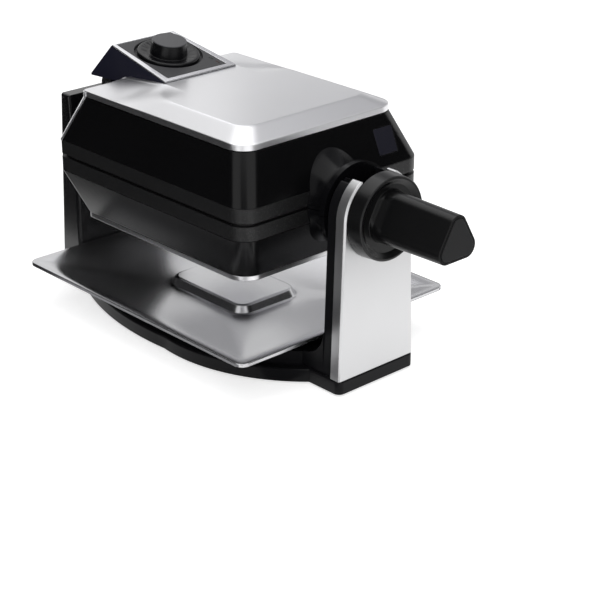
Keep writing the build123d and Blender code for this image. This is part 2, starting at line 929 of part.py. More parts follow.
# Places along the base
y_foot_front = y_column_front - foot_lead
y_barrel_front = y_tray_front + foot_lead
y_barrel_middle = y_tray_front + barrel_middle_share * tray_length
y_barrel_tail = y_tower_front - tail_lead
y_plinth_front = y_root_back + plinth_gap
y_plinth_back = y_tower_front - plinth_gap
z_plinth_top = z_tray_floor - tray_sheet - tray_rest_gap
z_bottom_top = foot_pad_height + bottom_sheet
foot_places = [
    (-foot_front_x, y_foot_front + foot_inset),
    (foot_front_x, y_foot_front + foot_inset),
    (-foot_middle_x, y_head_mid),
    (foot_middle_x, y_head_mid),
    (-foot_back_x, y_tower_back - foot_inset),
    (foot_back_x, y_tower_back - foot_inset),
]
screw_places = [(x, y + screw_shift) for x, y in foot_places[:4]] + [
    (x, y - screw_shift) for x, y in foot_places[4:]
]

# Barrel outline of the base on the ground plane
with BuildSketch(Plane.XY) as barrel:
    with BuildLine():
        Line((0, y_barrel_front), (foot_half_width, y_barrel_front))
        ThreePointArc(
            (foot_half_width, y_barrel_front),
            (barrel_shoulder, y_tray_front + barrel_shoulder_share * tray_length),
            (barrel_half_width, y_barrel_middle),
        )
        ThreePointArc(
            (barrel_half_width, y_barrel_middle),
            (barrel_tail, y_tray_front + barrel_tail_share * tray_length),
            (tail_half_width, y_barrel_tail),
        )
        Line((tail_half_width, y_barrel_tail), (tail_half_width, y_tower_back))
        Line((tail_half_width, y_tower_back), (0, y_tower_back))
        mirror(about=Plane.YZ)
    make_face()

# Base outline with the foot of the column in front
with BuildSketch(Plane.XY) as footprint:
    add(barrel.sketch)
    with Locations((0, (y_foot_front + y_barrel_front) / 2)):
        Rectangle(2 * foot_half_width, y_barrel_front - y_foot_front)
    fillet(footprint.vertices().group_by(Axis.Y)[0], foot_corner)

# Base moulding: a low skirt with a stepped plinth under the tray
with BuildPart() as base_shell:
    with BuildSketch(Plane.XY.offset(foot_pad_height)):
        add(footprint.sketch)
    extrude(amount=skirt_top - foot_pad_height)
    chamfer(
        base_shell.faces().sort_by(Axis.Z)[-1].outer_wire().edges().filter_by(Axis.X, reverse=True),
        skirt_bevel,
    )
    with BuildSketch(Plane.XY.offset(skirt_top)) as plinth_outline:
        add(offset(barrel.sketch, amount=-plinth_step, mode=Mode.PRIVATE))
        with Locations((0, (y_plinth_front + y_plinth_back) / 2)):
            Rectangle(2 * tray_width, y_plinth_back - y_plinth_front, mode=Mode.INTERSECT)
    extrude(amount=z_plinth_top - skirt_top)
    with BuildSketch(Plane.XY.offset(foot_pad_height)):
        add(offset(footprint.sketch, amount=-base_wall, mode=Mode.PRIVATE))
    extrude(amount=skirt_top - foot_pad_height - base_wall, mode=Mode.SUBTRACT)
    with BuildSketch(Plane.XY.offset(foot_pad_height)):
        add(offset(barrel.sketch, amount=-(plinth_step + base_wall), mode=Mode.PRIVATE))
        with Locations((0, (y_plinth_front + y_plinth_back) / 2)):
            Rectangle(
                2 * tray_width,
                y_plinth_back - y_plinth_front - 2 * base_wall,
                mode=Mode.INTERSECT,
            )
    extrude(amount=z_plinth_top - foot_pad_height - base_wall, mode=Mode.SUBTRACT)
    with BuildSketch(Plane.XY.offset(z_bottom_top)):
        with Locations(*screw_places):
            Circle(screw_boss_radius)
            Circle(screw_radius, mode=Mode.SUBTRACT)
    extrude(amount=skirt_top - z_bottom_top - base_wall)
    with BuildSketch(Plane.XY.offset(z_bottom_top)):
        with Locations(*screw_places[2:4]):
            Circle(screw_boss_radius)
            Circle(screw_radius, mode=Mode.SUBTRACT)
    extrude(amount=z_plinth_top - z_bottom_top - base_wall)
base_shell.part.label = "base_shell"
export_step(base_shell.part, "parts/base_shell.step")

# Bottom plate inside the skirt
with BuildPart() as bottom_plate:
    with BuildSketch(Plane.XY.offset(foot_pad_height)):
        add(offset(footprint.sketch, amount=-(base_wall + base_fit), mode=Mode.PRIVATE))
        with Locations(*screw_places):
            Circle(screw_radius + base_fit, mode=Mode.SUBTRACT)
    extrude(amount=bottom_sheet)
bottom_plate.part.label = "bottom_plate"
export_step(bottom_plate.part, "parts/bottom_plate.step")

# Rubber feet
for number, place in enumerate(foot_places, start=1):
    with BuildPart() as rubber_foot:
        with BuildSketch(Plane.XY):
            with Locations(place):
                Circle(foot_pad_radius)
        extrude(amount=foot_pad_height)
    rubber_foot.part.label = f"rubber_foot_{number}"
    export_step(rubber_foot.part, f"parts/rubber_foot_{number}.step")

# Screws of the bottom plate
for number, place in enumerate(screw_places, start=1):
    with BuildPart() as base_screw:
        with BuildSketch(Plane.XY.offset(foot_pad_height - screw_head_height)):
            with Locations(place):
                Circle(screw_head_radius)
        extrude(amount=screw_head_height)
        with BuildSketch(Plane.XY.offset(foot_pad_height)):
            with Locations(place):
                Circle(screw_radius)
        extrude(amount=skirt_top - foot_pad_height - base_wall)
    base_screw.part.label = f"base_screw_{number}"
    export_step(base_screw.part, f"parts/base_screw_{number}.step")

# Drip tray: a hemmed sheet that falls to a flat floor with a raised plateau
rim_inner_width = tray_width - 2 * tray_rim
rim_inner_length = tray_length - 2 * tray_rim
rim_inner_corner = tray_corner - tray_rim
floor_width = plateau_width + 2 * tray_floor_margin
floor_length = plateau_length + 2 * tray_floor_margin
with BuildPart() as drip_tray:
    with BuildSketch(Plane((0, y_tray_mid, z_tray_floor - tray_sheet))):
        RectangleRounded(floor_width, floor_length, rim_inner_corner)
    with BuildSketch(Plane((0, y_tray_mid, tray_rim_top - tray_sheet))):
        RectangleRounded(rim_inner_width, rim_inner_length, rim_inner_corner)
    loft(ruled=True)
    with BuildSketch(Plane((0, y_tray_mid, tray_rim_top - tray_sheet))):
        RectangleRounded(rim_inner_width, rim_inner_length, rim_inner_corner)
    extrude(amount=tray_sheet)
    with BuildSketch(Plane((0, y_tray_mid, z_tray_floor))):
        RectangleRounded(floor_width, floor_length, rim_inner_corner)
    with BuildSketch(Plane((0, y_tray_mid, tray_rim_top))):
        RectangleRounded(rim_inner_width, rim_inner_length, rim_inner_corner)
    loft(ruled=True, mode=Mode.SUBTRACT)
    with BuildSketch(Plane((0, y_tray_mid, tray_rim_top - tray_hem))):
        RectangleRounded(tray_width, tray_length, tray_corner)
        RectangleRounded(rim_inner_width, rim_inner_length, rim_inner_corner, mode=Mode.SUBTRACT)
    extrude(amount=tray_hem)
    fillet(drip_tray.faces().sort_by(Axis.Z)[-1].outer_wire().edges(), tray_sheet)
    with BuildSketch(Plane((0, y_tray_mid, z_tray_floor - tray_sheet))):
        RectangleRounded(
            plateau_width + 2 * plateau_draft, plateau_length + 2 * plateau_draft, plateau_corner
        )
    with BuildSketch(Plane((0, y_tray_mid, z_tray_floor + plateau_height))):
        RectangleRounded(plateau_width, plateau_length, plateau_corner)
    loft(ruled=True)
    with BuildSketch(Plane((0, y_tray_mid, z_tray_floor - tray_sheet))):
        RectangleRounded(
            plateau_width + 2 * plateau_draft - 2 * tray_sheet,
            plateau_length + 2 * plateau_draft - 2 * tray_sheet,
            plateau_corner - tray_sheet,
        )
    with BuildSketch(Plane((0, y_tray_mid, z_tray_floor + plateau_height - tray_sheet))):
        RectangleRounded(
            plateau_width - 2 * tray_sheet,
            plateau_length - 2 * tray_sheet,
            plateau_corner - tray_sheet,
        )
    loft(ruled=True, mode=Mode.SUBTRACT)
drip_tray.part.label = "drip_tray"
export_step(drip_tray.part, "parts/drip_tray.step")

# Side outline of the tower and the front of its bearing boss
tower_points = [
    (y_tower_front, skirt_top),
    (y_tower_front, tower_lean_start),
    (y_tower_front + tower_front_lean, tower_top),
    (y_tower_back - tower_back_lean, tower_top),
    (y_tower_back, skirt_top + tower_heel),
    (y_tower_back, skirt_top),
]
y_bearing = y_tower_front + bearing_boss_lead
bearing_outer = shaft_radius + shaft_clearance + bearing_wall
back_lean_rate = tower_back_lean / (tower_top - skirt_top - tower_heel)
y_back_inner = (
    y_tower_back - tower_wall - back_lean_rate * (axis_height - skirt_top - tower_heel)
)
y_shaft_end = y_back_inner - shaft_end_gap

# Solid form of the tower and the space inside it
with BuildPart() as tower_form:
    with BuildSketch(Plane.YZ):
        with BuildLine():
            Polyline(*tower_points, close=True)
        make_face()
    extrude(amount=tower_half_width, both=True)
    fillet(
        tower_form.faces().filter_by(Axis.X).edges().filter_by_position(
            Axis.Z, skirt_top + tower_wall, tower_top
        ),
        tower_corner,
    )
with BuildPart() as tower_hollow:
    with BuildSketch(Plane.YZ):
        with BuildLine():
            Polyline(*tower_points, close=True)
        make_face()
        offset(amount=-tower_wall)
    extrude(amount=tower_half_width - tower_wall, both=True)

# Tower at the back, open behind for the cover
with BuildPart() as rear_tower:
    add(tower_form.part)
    add(tower_hollow.part, mode=Mode.SUBTRACT)
    with BuildSketch(facing_front(y_bearing)):
        with Locations((0, axis_height)):
            Circle(bearing_flange_radius + bearing_boss_margin)
    extrude(amount=-bearing_length)
    with BuildSketch(facing_front(y_bearing)):
        with Locations((0, axis_height)):
            Circle(bearing_outer + bearing_fit)
    extrude(amount=-bearing_length, mode=Mode.SUBTRACT)
    with BuildSketch(facing_front(y_tower_back)):
        with Locations((0, back_cover_bottom + back_cover_height / 2)):
            Rectangle(2 * back_cover_half_width, back_cover_height)
    extrude(amount=tower_wall + tower_back_lean, mode=Mode.SUBTRACT)
rear_tower.part.label = "rear_tower"
export_step(rear_tower.part, "parts/rear_tower.step")

# Cover of the tower's back with the hole of the cable gland
with BuildPart() as tower_back_cover:
    add(tower_form.part)
    add(tower_hollow.part, mode=Mode.SUBTRACT)
    with BuildSketch(facing_front(y_tower_back)):
        with Locations((0, back_cover_bottom + back_cover_height / 2)):
            Rectangle(
                2 * (back_cover_half_width - back_cover_fit),
                back_cover_height - 2 * back_cover_fit,
            )
    extrude(amount=tower_wall + tower_back_lean, mode=Mode.INTERSECT)
    with BuildSketch(facing_front(y_tower_back)):
        with Locations((0, gland_height)):
            Circle(gland_radius + gland_fit)
    extrude(amount=2 * gland_length, mode=Mode.SUBTRACT)
tower_back_cover.part.label = "tower_back_cover"
export_step(tower_back_cover.part, "parts/tower_back_cover.step")

# Cable gland
with BuildPart() as cable_gland:
    with BuildSketch(facing_front(y_tower_back - gland_fit)):
        with Locations((0, gland_height)):
            Circle(gland_radius)
            Circle(gland_bore, mode=Mode.SUBTRACT)
    extrude(amount=gland_length)
    chamfer(cable_gland.faces().sort_by(Axis.Y)[-1].outer_wire().edges(), gland_chamfer)
cable_gland.part.label = "cable_gland"
export_step(cable_gland.part, "parts/cable_gland.step")

# Flanged bearing bush in the tower
with BuildPart() as rear_bearing:
    with BuildSketch(facing_front(y_bearing)):
        with Locations((0, axis_height)):
            Circle(bearing_flange_radius)
            Circle(shaft_radius + shaft_clearance, mode=Mode.SUBTRACT)
    extrude(amount=bearing_flange)
    with BuildSketch(facing_front(y_bearing)):
        with Locations((0, axis_height)):
            Circle(bearing_outer)
            Circle(shaft_radius + shaft_clearance, mode=Mode.SUBTRACT)
    extrude(amount=-bearing_length)
rear_bearing.part.label = "rear_bearing"
export_step(rear_bearing.part, "parts/rear_bearing.step")

# Places of the bracket behind the head
y_bracket = y_head_back + bracket_gap
y_bracket_back = y_bracket + bracket_sheet
y_boss_back = y_bracket_back + bracket_boss
arm_inner = leaf_half_width + arm_gap
z_bracket_low = axis_height - bracket_drop
z_arm_foot = axis_height - arm_foot_drop
z_arm_shoulder = axis_height + arm_shoulder

# Hinge bracket that carries the lower half on the shaft and holds the hinge pin
with BuildPart() as hinge_bracket:
    with BuildSketch(facing_front(y_bracket)):
        with Locations((0, (z_bracket_low + z_arm_foot) / 2)):
            Rectangle(2 * bracket_half_width, z_arm_foot - z_bracket_low)
        with Locations((0, axis_height)):
            Circle(bracket_boss_radius)
    extrude(amount=-bracket_sheet)
    with BuildSketch(facing_front(y_bracket_back)):
        with Locations((0, axis_height)):
            Circle(bracket_boss_radius)
    extrude(amount=-bracket_boss)
    for side in (-1, 1):
        with BuildSketch(Plane.YZ.offset(side * (arm_inner + arm_width / 2))):
            with BuildLine():
                Polyline(
                    (y_bracket, z_arm_foot - arm_width),
                    (y_bracket, z_arm_shoulder),
                    (y_hinge - hinge_radius, z_hinge),
                    (y_hinge + hinge_radius, z_hinge),
                    (y_hinge + arm_heel, z_hinge - arm_heel_drop),
                    (y_boss_back, z_arm_foot - arm_width),
                    close=True,
                )
            make_face()
            with Locations((y_hinge, z_hinge)):
                Circle(hinge_radius)
        extrude(amount=arm_width / 2, both=True)
    with BuildSketch(facing_front(y_bracket_back)):
        with Locations((0, axis_height)):
            Circle(shaft_radius)
    extrude(amount=-bracket_boss, mode=Mode.SUBTRACT)
    with BuildSketch(facing_front(y_bracket)):
        with Locations((0, axis_height)):
            Circle(shaft_bore)
    extrude(amount=-bracket_sheet, mode=Mode.SUBTRACT)
    with BuildSketch(Plane.YZ):
        with Locations((y_hinge, z_hinge)):
            Circle(hinge_pin_radius)
    extrude(amount=arm_inner + arm_width, both=True, mode=Mode.SUBTRACT)
    with BuildSketch(facing_front(y_head_back)):
        with Locations(
            (-bracket_half_width + pad_width / 2, axis_height - h_band_bottom - band_height / 2),
            (bracket_half_width - pad_width / 2, axis_height - h_band_bottom - band_height / 2),
        ):
            Rectangle(pad_width, band_height - 2 * band_groove)
    extrude(amount=-bracket_gap)
hinge_bracket.part.label = "hinge_bracket"
export_step(hinge_bracket.part, "parts/hinge_bracket.step")

# Hollow shaft that the head turns on
with BuildPart() as rear_shaft:
    with BuildSketch(facing_front(y_bracket_back)):
        with Locations((0, axis_height)):
            Circle(shaft_radius)
            Circle(shaft_bore, mode=Mode.SUBTRACT)
    extrude(amount=-(y_shaft_end - y_bracket_back))
rear_shaft.part.label = "rear_shaft"
export_step(rear_shaft.part, "parts/rear_shaft.step")

# Thrust collar on the shaft, just before the bearing
with BuildPart() as shaft_collar:
    with BuildSketch(facing_front(y_bearing - bearing_flange - collar_ring_gap)):
        with Locations((0, axis_height)):
            Circle(collar_ring_radius)
            Circle(shaft_radius, mode=Mode.SUBTRACT)
    extrude(amount=collar_ring_width)
shaft_collar.part.label = "shaft_collar"
export_step(shaft_collar.part, "parts/shaft_collar.step")

# Hinge pin
with BuildPart() as hinge_pin:
    with BuildSketch(Plane.YZ):
        with Locations((y_hinge, z_hinge)):
            Circle(hinge_pin_radius)
    extrude(amount=arm_inner + arm_width, both=True)
hinge_pin.part.label = "hinge_pin"
export_step(hinge_pin.part, "parts/hinge_pin.step")

# Line of the apron's outer face, for the tab of the hinge leaf
slope_rate = shell_end_inset / shell_height
z_leaf_low = z_housing_floor - leaf_sheet
z_tab_end = z_housing_floor - leaf_tab
y_apron_top = y_head_back + apron_sheet - slope_rate * (z_housing_floor - axis_height - h_band_top)
y_apron_low = y_apron_top + slope_rate * leaf_tab

# Hinge leaf of the lid: a barrel, a plate under the housing and a tab on the apron
with BuildPart() as lid_hinge_leaf:
    with BuildSketch(Plane.YZ):
        with BuildLine():
            Polyline(
                (y_apron_top, z_housing_floor),
                (y_hinge, z_housing_floor),
                (y_hinge, z_leaf_low),
                (y_apron_top + slope_rate * leaf_sheet + leaf_sheet, z_leaf_low),
                (y_apron_low + leaf_sheet, z_tab_end),
                (y_apron_low, z_tab_end),
                close=True,
            )
        make_face()
        with Locations((y_hinge, z_hinge)):
            Circle(hinge_radius)
            Circle(hinge_pin_radius + hinge_pin_clearance, mode=Mode.SUBTRACT)
    extrude(amount=leaf_half_width, both=True)
lid_hinge_leaf.part.label = "lid_hinge_leaf"
export_step(lid_hinge_leaf.part, "parts/lid_hinge_leaf.step")

# Upper cooking plate with two waffle cavities, open towards the parting line
h_plate = split_gap / 2
h_plate_back = h_plate + plate_block_height
plate_block_width = head_width - 2 * plate_side_margin
plate_block_length = head_length - 2 * plate_end_margin
cavity_width = plate_block_width - 2 * cavity_side
cavity_length = (plate_block_length - 2 * cavity_end - cavity_web) / 2
cavity_shift = (cavity_length + cavity_web) / 2
stud_pitch_across = cavity_width / (studs_across + 1)
stud_pitch_along = cavity_length / (studs_along + 1)
with BuildPart() as upper_waffle_plate:
    with BuildSketch(head_plane.offset(h_plate)):
        add(band_outline(-band_wall - plate_flange_fit))
    extrude(amount=plate_flange)
    with BuildSketch(head_plane.offset(h_plate)):
        RectangleRounded(plate_block_width, plate_block_length, plate_block_corner)
    extrude(amount=plate_block_height)
    with BuildSketch(head_plane.offset(h_plate)):
        with Locations((0, -cavity_shift), (0, cavity_shift)):
            RectangleRounded(cavity_width, cavity_length, cavity_corner)
    extrude(amount=cavity_depth, taper=cavity_draft, mode=Mode.SUBTRACT)
    with BuildSketch(head_plane.offset(h_plate + cavity_depth)):
        with Locations((0, -cavity_shift), (0, cavity_shift)):
            with GridLocations(stud_pitch_across, stud_pitch_along, studs_across, studs_along):
                Rectangle(stud_size, stud_size)
    extrude(amount=-stud_height, taper=stud_draft)
upper_waffle_plate.part.label = "upper_waffle_plate"
export_step(upper_waffle_plate.part, "parts/upper_waffle_plate.step")

# Lower cooking plate
with BuildPart() as lower_waffle_plate:
    mirror(upper_waffle_plate.part, about=mid_plane)
lower_waffle_plate.part.label = "lower_waffle_plate"
export_step(lower_waffle_plate.part, "parts/lower_waffle_plate.step")

# Tubular heating element lying along the back of the upper plate
heater_half_width = plate_block_width / 2 - heater_side
heater_half_length = plate_block_length / 2 - heater_end
heater_level = h_plate_back + heater_gap + heater_radius
y_heater_open = y_head_mid + heater_half_length
with BuildPart() as upper_heating_element:
    with BuildLine() as heater_path:
        FilletPolyline(
            (-heater_half_width, y_heater_open, axis_height + heater_level),
            (-heater_half_width, y_head_mid - heater_half_length, axis_height + heater_level),
            (heater_half_width, y_head_mid - heater_half_length, axis_height + heater_level),
            (heater_half_width, y_heater_open, axis_height + heater_level),
            radius=heater_bend,
        )
    with BuildSketch(heater_path.line ^ 0):
        Circle(heater_radius)
    sweep()
upper_heating_element.part.label = "upper_heating_element"
export_step(upper_heating_element.part, "parts/upper_heating_element.step")

# Lower heating element
with BuildPart() as lower_heating_element:
    mirror(upper_heating_element.part, about=mid_plane)
lower_heating_element.part.label = "lower_heating_element"
export_step(lower_heating_element.part, "parts/lower_heating_element.step")

# Heat shield, an inverted pan over the plate and its element
h_flange_back = h_plate + plate_flange
with BuildPart() as upper_heat_shield:
    with BuildSketch(head_plane.offset(h_flange_back)):
        RectangleRounded(
            plate_block_width + 2 * (shield_gap + shield_sheet),
            plate_block_length + 2 * (shield_gap + shield_sheet),
            plate_block_corner + shield_gap + shield_sheet,
        )
    extrude(amount=shield_height)
    with BuildSketch(head_plane.offset(h_flange_back)):
        RectangleRounded(
            plate_block_width + 2 * shield_gap,
            plate_block_length + 2 * shield_gap,
            plate_block_corner + shield_gap,
        )
    extrude(amount=shield_height - shield_sheet, mode=Mode.SUBTRACT)
upper_heat_shield.part.label = "upper_heat_shield"
export_step(upper_heat_shield.part, "parts/upper_heat_shield.step")

# Lower heat shield
with BuildPart() as lower_heat_shield:
    mirror(upper_heat_shield.part, about=mid_plane)
lower_heat_shield.part.label = "lower_heat_shield"
export_step(lower_heat_shield.part, "parts/lower_heat_shield.step")
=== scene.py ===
"""Looks of a rotating waffle maker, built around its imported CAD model."""

import json
import math

import bmesh
import bpy
from mathutils import Matrix, Vector


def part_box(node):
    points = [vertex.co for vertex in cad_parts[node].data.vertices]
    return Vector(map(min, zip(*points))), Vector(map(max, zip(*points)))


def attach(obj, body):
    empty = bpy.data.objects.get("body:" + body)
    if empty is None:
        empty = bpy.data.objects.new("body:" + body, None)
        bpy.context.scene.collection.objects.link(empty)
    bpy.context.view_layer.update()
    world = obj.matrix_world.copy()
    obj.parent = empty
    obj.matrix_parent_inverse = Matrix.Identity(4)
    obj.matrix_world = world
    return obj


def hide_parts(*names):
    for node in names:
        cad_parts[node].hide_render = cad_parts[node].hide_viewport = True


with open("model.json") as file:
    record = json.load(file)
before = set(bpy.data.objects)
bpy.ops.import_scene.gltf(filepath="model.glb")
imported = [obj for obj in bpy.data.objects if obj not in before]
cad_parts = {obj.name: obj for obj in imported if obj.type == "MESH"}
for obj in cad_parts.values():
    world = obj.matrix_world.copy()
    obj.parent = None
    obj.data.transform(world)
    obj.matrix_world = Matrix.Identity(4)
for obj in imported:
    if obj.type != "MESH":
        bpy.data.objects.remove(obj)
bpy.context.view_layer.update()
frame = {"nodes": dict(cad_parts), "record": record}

bl_info = {
    "name": "Rotating Waffle Maker",
    "version": (1, 0, 0),
    "blender": (4, 5, 0),
    "location": "View3D > Sidebar > Waffle Maker",
    "description": "Dresses the packed waffle maker with finished pieces and materials",
    "category": "Object",
}

MM = 0.001
MERGE_DISTANCE = 0.002 * MM
BODY_OF = {
    node: body
    for body, nodes in frame["record"]["behaviour"]["bodies"].items()
    for node in nodes
}


def linear(text):
    """Turns an sRGB hex colour into Blender's linear colour."""
    parts = [int(text[i:i + 2], 16) / 255 for i in (1, 3, 5)]
    curved = [c / 12.92 if c <= 0.04045 else ((c + 0.055) / 1.055) ** 2.4 for c in parts]
    return (*curved, 1.0)


def add(tree, kind, settings=None, links=None):
    """Adds one node with its settings and its links, by socket name or number."""
    node = tree.nodes.new(kind)
    for key, value in (settings or {}).items():
        if isinstance(key, int) or key in node.inputs:
            node.inputs[key].default_value = value
        else:
            setattr(node, key, value)
    for key, source in (links or {}).items():
        tree.links.new(source, node.inputs[key])
    return node


def colour(name, description, text):
    """A colour setting whose default is an sRGB hex value."""
    return bpy.props.FloatVectorProperty(
        name=name, description=description, subtype="COLOR", size=4, min=0, max=1,
        default=linear(text),
    )


def length(name, description, millimetres):
    """A length setting, given in millimetres."""
    return bpy.props.FloatProperty(
        name=name, description=description, unit="LENGTH", subtype="DISTANCE",
        precision=5, min=0, default=millimetres * MM,
    )


class WaffleColours(bpy.types.PropertyGroup):
    """Base colours of the finishes."""

    cover: colour("Cover steel", "Satin stainless steel of the covers", "#E0E0E2")
    plate: colour("Column steel", "Brushed stainless steel of the column", "#CFCFD0")
    tray: colour("Tray steel", "Rolled stainless steel of the drip tray", "#C9C9CB")
    shell: colour("Shell", "Gloss black ABS of the shells", "#070708")
    band: colour("Band", "Spark-textured black plastic of the bands", "#111112")
    handle: colour("Handle", "Satin black nylon of the handle", "#0A0A0B")
    end_cap: colour("End cap", "Moulded cap in the handle's end", "#1C1C1D")
    neck: colour("Neck", "Gloss black nylon of the neck", "#08080A")
    housing: colour("Housing", "Blue-black ABS of the dial housing", "#1B1B29")
    panel: colour("Panel", "Dark grey ABS of the dial panel", "#3A3A3C")
    frame: colour("Dial frame", "Silver lacquer of the dial frame", "#E4E4E7")
    knob: colour("Knob", "Satin black ABS of the knob", "#0D0D0F")
    knob_cap: colour("Knob cap", "Grey insert on the knob", "#3E3E41")
    button: colour("Buttons", "Violet-black ABS of the release buttons", "#1E1E26")
    tower: colour("Tower", "Semi-gloss black ABS of the tower", "#0A0A0C")
    base: colour("Base", "Black plastic of the base and the bearings", "#0F0F11")
    rubber: colour("Rubber", "Rubber of the feet and the gland", "#101010")
    coating: colour("Coating", "Non-stick coating of the plates", "#151516")
    steel: colour("Steel", "Turned and sheet steel of the hidden parts", "#8C8C8E")
    oxidised: colour("Oxidised steel", "Sheath of the heating elements", "#3C3A38")
    powder: colour("Powder coat", "Black powder coat of the hinge", "#141416")
    red_lens: colour("Red lens", "Unlit red lamp", "#2A0E0C")
    green_lens: colour("Green lens", "Unlit green lamp", "#0F1E12")
    floor: colour("Floor", "Plain pale floor", "#F4F4F4")


class WaffleSizes(bpy.types.PropertyGroup):
    """Sizes of the details that are finished here."""

    sheet_edge: length("Sheet edge", "Rounding of the covers' folds", 0.9)
    plate_edge: length("Plate edge", "Rounding of the column plate's rim", 0.8)
    shell_edge: length("Shell edge", "Rounding of the shells' edges", 0.6)
    band_edge: length("Band edge", "Rounding of the bands' edges", 0.5)
    neck_edge: length("Neck edge", "Rounding of the neck's edges", 0.7)
    handle_edge: length("Handle edge", "Rounding of the handle's edges", 1.2)
    dial_edge: length("Dial edge", "Rounding of the dial's edges", 0.5)
    base_edge: length("Base edge", "Rounding of the base and the tower", 0.8)
    small_edge: length("Small edge", "Rounding of small metal parts", 0.3)
    foot_radius: length("Foot radius", "Radius of a rubber foot", 8.0)
    foot_height: length("Foot height", "Height of a rubber foot", 2.0)
    foot_step: length("Foot step", "How far its ground face stands in", 0.9)
    foot_rounding: length("Foot rounding", "Rounding of its ground face", 0.3)
    screw_head_radius: length("Screw head", "Radius of a screw's head", 3.6)
    screw_head_height: length("Screw head height", "Height of the head", 1.4)
    screw_rounding: length("Screw rounding", "Rounding of the head", 0.35)
    screw_radius: length("Screw shank", "Radius of a screw's shank", 2.0)
    screw_length: length("Screw length", "Length of the shank", 9.1)
    cover_corner: length("Cover corner", "Front corners of the upper cover", 19.0)
    cover_back_corner: length("Cover back corner", "Its back corners", 5.0)
    lip_gap: length("Lip gap", "Dark gap between the cover and the shell", 0.9)
    lip_height: length("Lip height", "Upright rim of the upper cover", 6.2)
    crown_rise: length("Crown rise", "Height of the cover's crown over its rim", 8.7)
    crown_inset: length("Crown inset", "Width of the slope round the crown", 19.0)
    crown_corner: length("Crown corner", "Front corners of the crown", 14.5)
    lip_edge: length("Lip edge", "Rounding between the rim and the slope", 0.5)
    seat_fall: length("Seat fall", "How far the dial's seat falls to the back", 6.9)
    seat_bead: length("Seat bead", "Raised edge beside the dial housing", 1.0)
    apron_reach: length("Apron reach", "Width of the apron beside the shell", 6.5)
    apron_corner: length("Apron corner", "Back corners of the apron", 6.0)
    cover_sheet: length("Cover sheet", "Thickness of the cover", 1.0)
    tray_sheet: length("Tray sheet", "Thickness of the tray", 1.0)
    tray_hem: length("Tray hem", "Height of the tray's turned edge", 3.2)
    hem_edge: length("Hem edge", "Rounding of the tray's turned edge", 0.7)
    tray_rim: length("Tray rim", "Width of the tray's flat rim", 4.0)
    tray_corner: length("Tray corner", "Corners of the tray", 9.0)
    plateau_width: length("Plateau width", "Raised middle of the tray", 67.0)
    plateau_length: length("Plateau length", "The same, along the axis", 101.0)
    plateau_height: length("Plateau height", "Its height over the floor", 8.0)
    plateau_corner: length("Plateau corner", "Its rounded corners", 11.0)
    tray_margin: length("Tray margin", "Flat floor round the plateau", 11.0)


class WaffleStage(bpy.types.PropertyGroup):
    """Lights and background."""

    overhead: bpy.props.FloatProperty(
        name="Overhead light", description="Power of the large overhead softbox",
        unit="POWER", default=9.0, min=0)
    key: bpy.props.FloatProperty(
        name="Key light", description="Power of the narrow upright softbox at the camera",
        unit="POWER", default=7.5, min=0)
    side: bpy.props.FloatProperty(
        name="Side light", description="Power of the softbox at the right",
        unit="POWER", default=4.0, min=0)
    ambient: bpy.props.FloatProperty(
        name="Ambient", description="Strength of the even light from all sides",
        default=0.45, min=0)
    floor_glow: bpy.props.FloatProperty(
        name="Floor glow", description="What the floor adds where it is seen, to fade to white",
        default=0.6, min=0)
    floor_reach: length("Floor reach", "Half the floor's width", 12000)


def start_material(name, base, roughness, metallic=0.0, **sockets):
    """A material with a Principled shader, and the place of each point on the object."""
    material = bpy.data.materials.new(name)
    material.use_nodes = True
    tree = material.node_tree
    tree.nodes.clear()
    shader = add(tree, "ShaderNodeBsdfPrincipled", {
        "Base Color": tuple(base), "Roughness": roughness, "Metallic": metallic, **sockets,
    })
    add(tree, "ShaderNodeOutputMaterial", links={"Surface": shader.outputs["BSDF"]})
    place = add(tree, "ShaderNodeTexCoord").outputs["Object"]
    return material, tree, shader, place


def moulded(name, base, roughness, specular, grain, depth, tint=0.12, speckle=0.0,
            cloud=60 * MM):
    """Moulded plastic: a fine grain from the tool, a little uneven gloss and colour."""
    # Shares of the roughness at its glossiest and dullest, and a lift for near-black tints
    glossiest, dullest, lift = 0.9, 1.15, 0.0004
    # Where in the grain a speckle starts and is full
    speckle_start, speckle_full = 0.52, 0.68
    material, tree, shader, place = start_material(
        name, base, roughness, **{"Specular IOR Level": specular})
    grains = add(tree, "ShaderNodeTexNoise", {"Scale": 1 / grain, "Detail": 3.0},
                 {"Vector": place})
    clouds = add(tree, "ShaderNodeTexNoise", {"Scale": 1 / cloud, "Detail": 2.0},
                 {"Vector": place})
    bump = add(tree, "ShaderNodeBump", {"Strength": 1.0, "Distance": depth},
               {"Height": grains.outputs["Fac"]})
    tree.links.new(bump.outputs["Normal"], shader.inputs["Normal"])
    gloss = add(tree, "ShaderNodeMapRange",
                {"To Min": roughness * glossiest, "To Max": roughness * dullest},
                {"Value": clouds.outputs["Fac"]})
    tree.links.new(gloss.outputs["Result"], shader.inputs["Roughness"])
    paler = [min(1.0, c * (1 + tint) + lift) for c in base[:3]] + [1.0]
    shade = add(tree, "ShaderNodeMix", {"data_type": "RGBA", 6: tuple(base), 7: tuple(paler)},
                {0: clouds.outputs["Fac"]})
    if speckle > 0:
        pale = tuple(min(1.0, c + speckle) for c in base[:3]) + (1.0,)
        dots = add(tree, "ShaderNodeMapRange",
                   {"From Min": speckle_start, "From Max": speckle_full},
                   {"Value": grains.outputs["Fac"]})
        shade = add(tree, "ShaderNodeMix", {"data_type": "RGBA", 7: pale},
                    {0: dots.outputs["Result"], 6: shade.outputs[2]})
    tree.links.new(shade.outputs[2], shader.inputs["Base Color"])
    return material


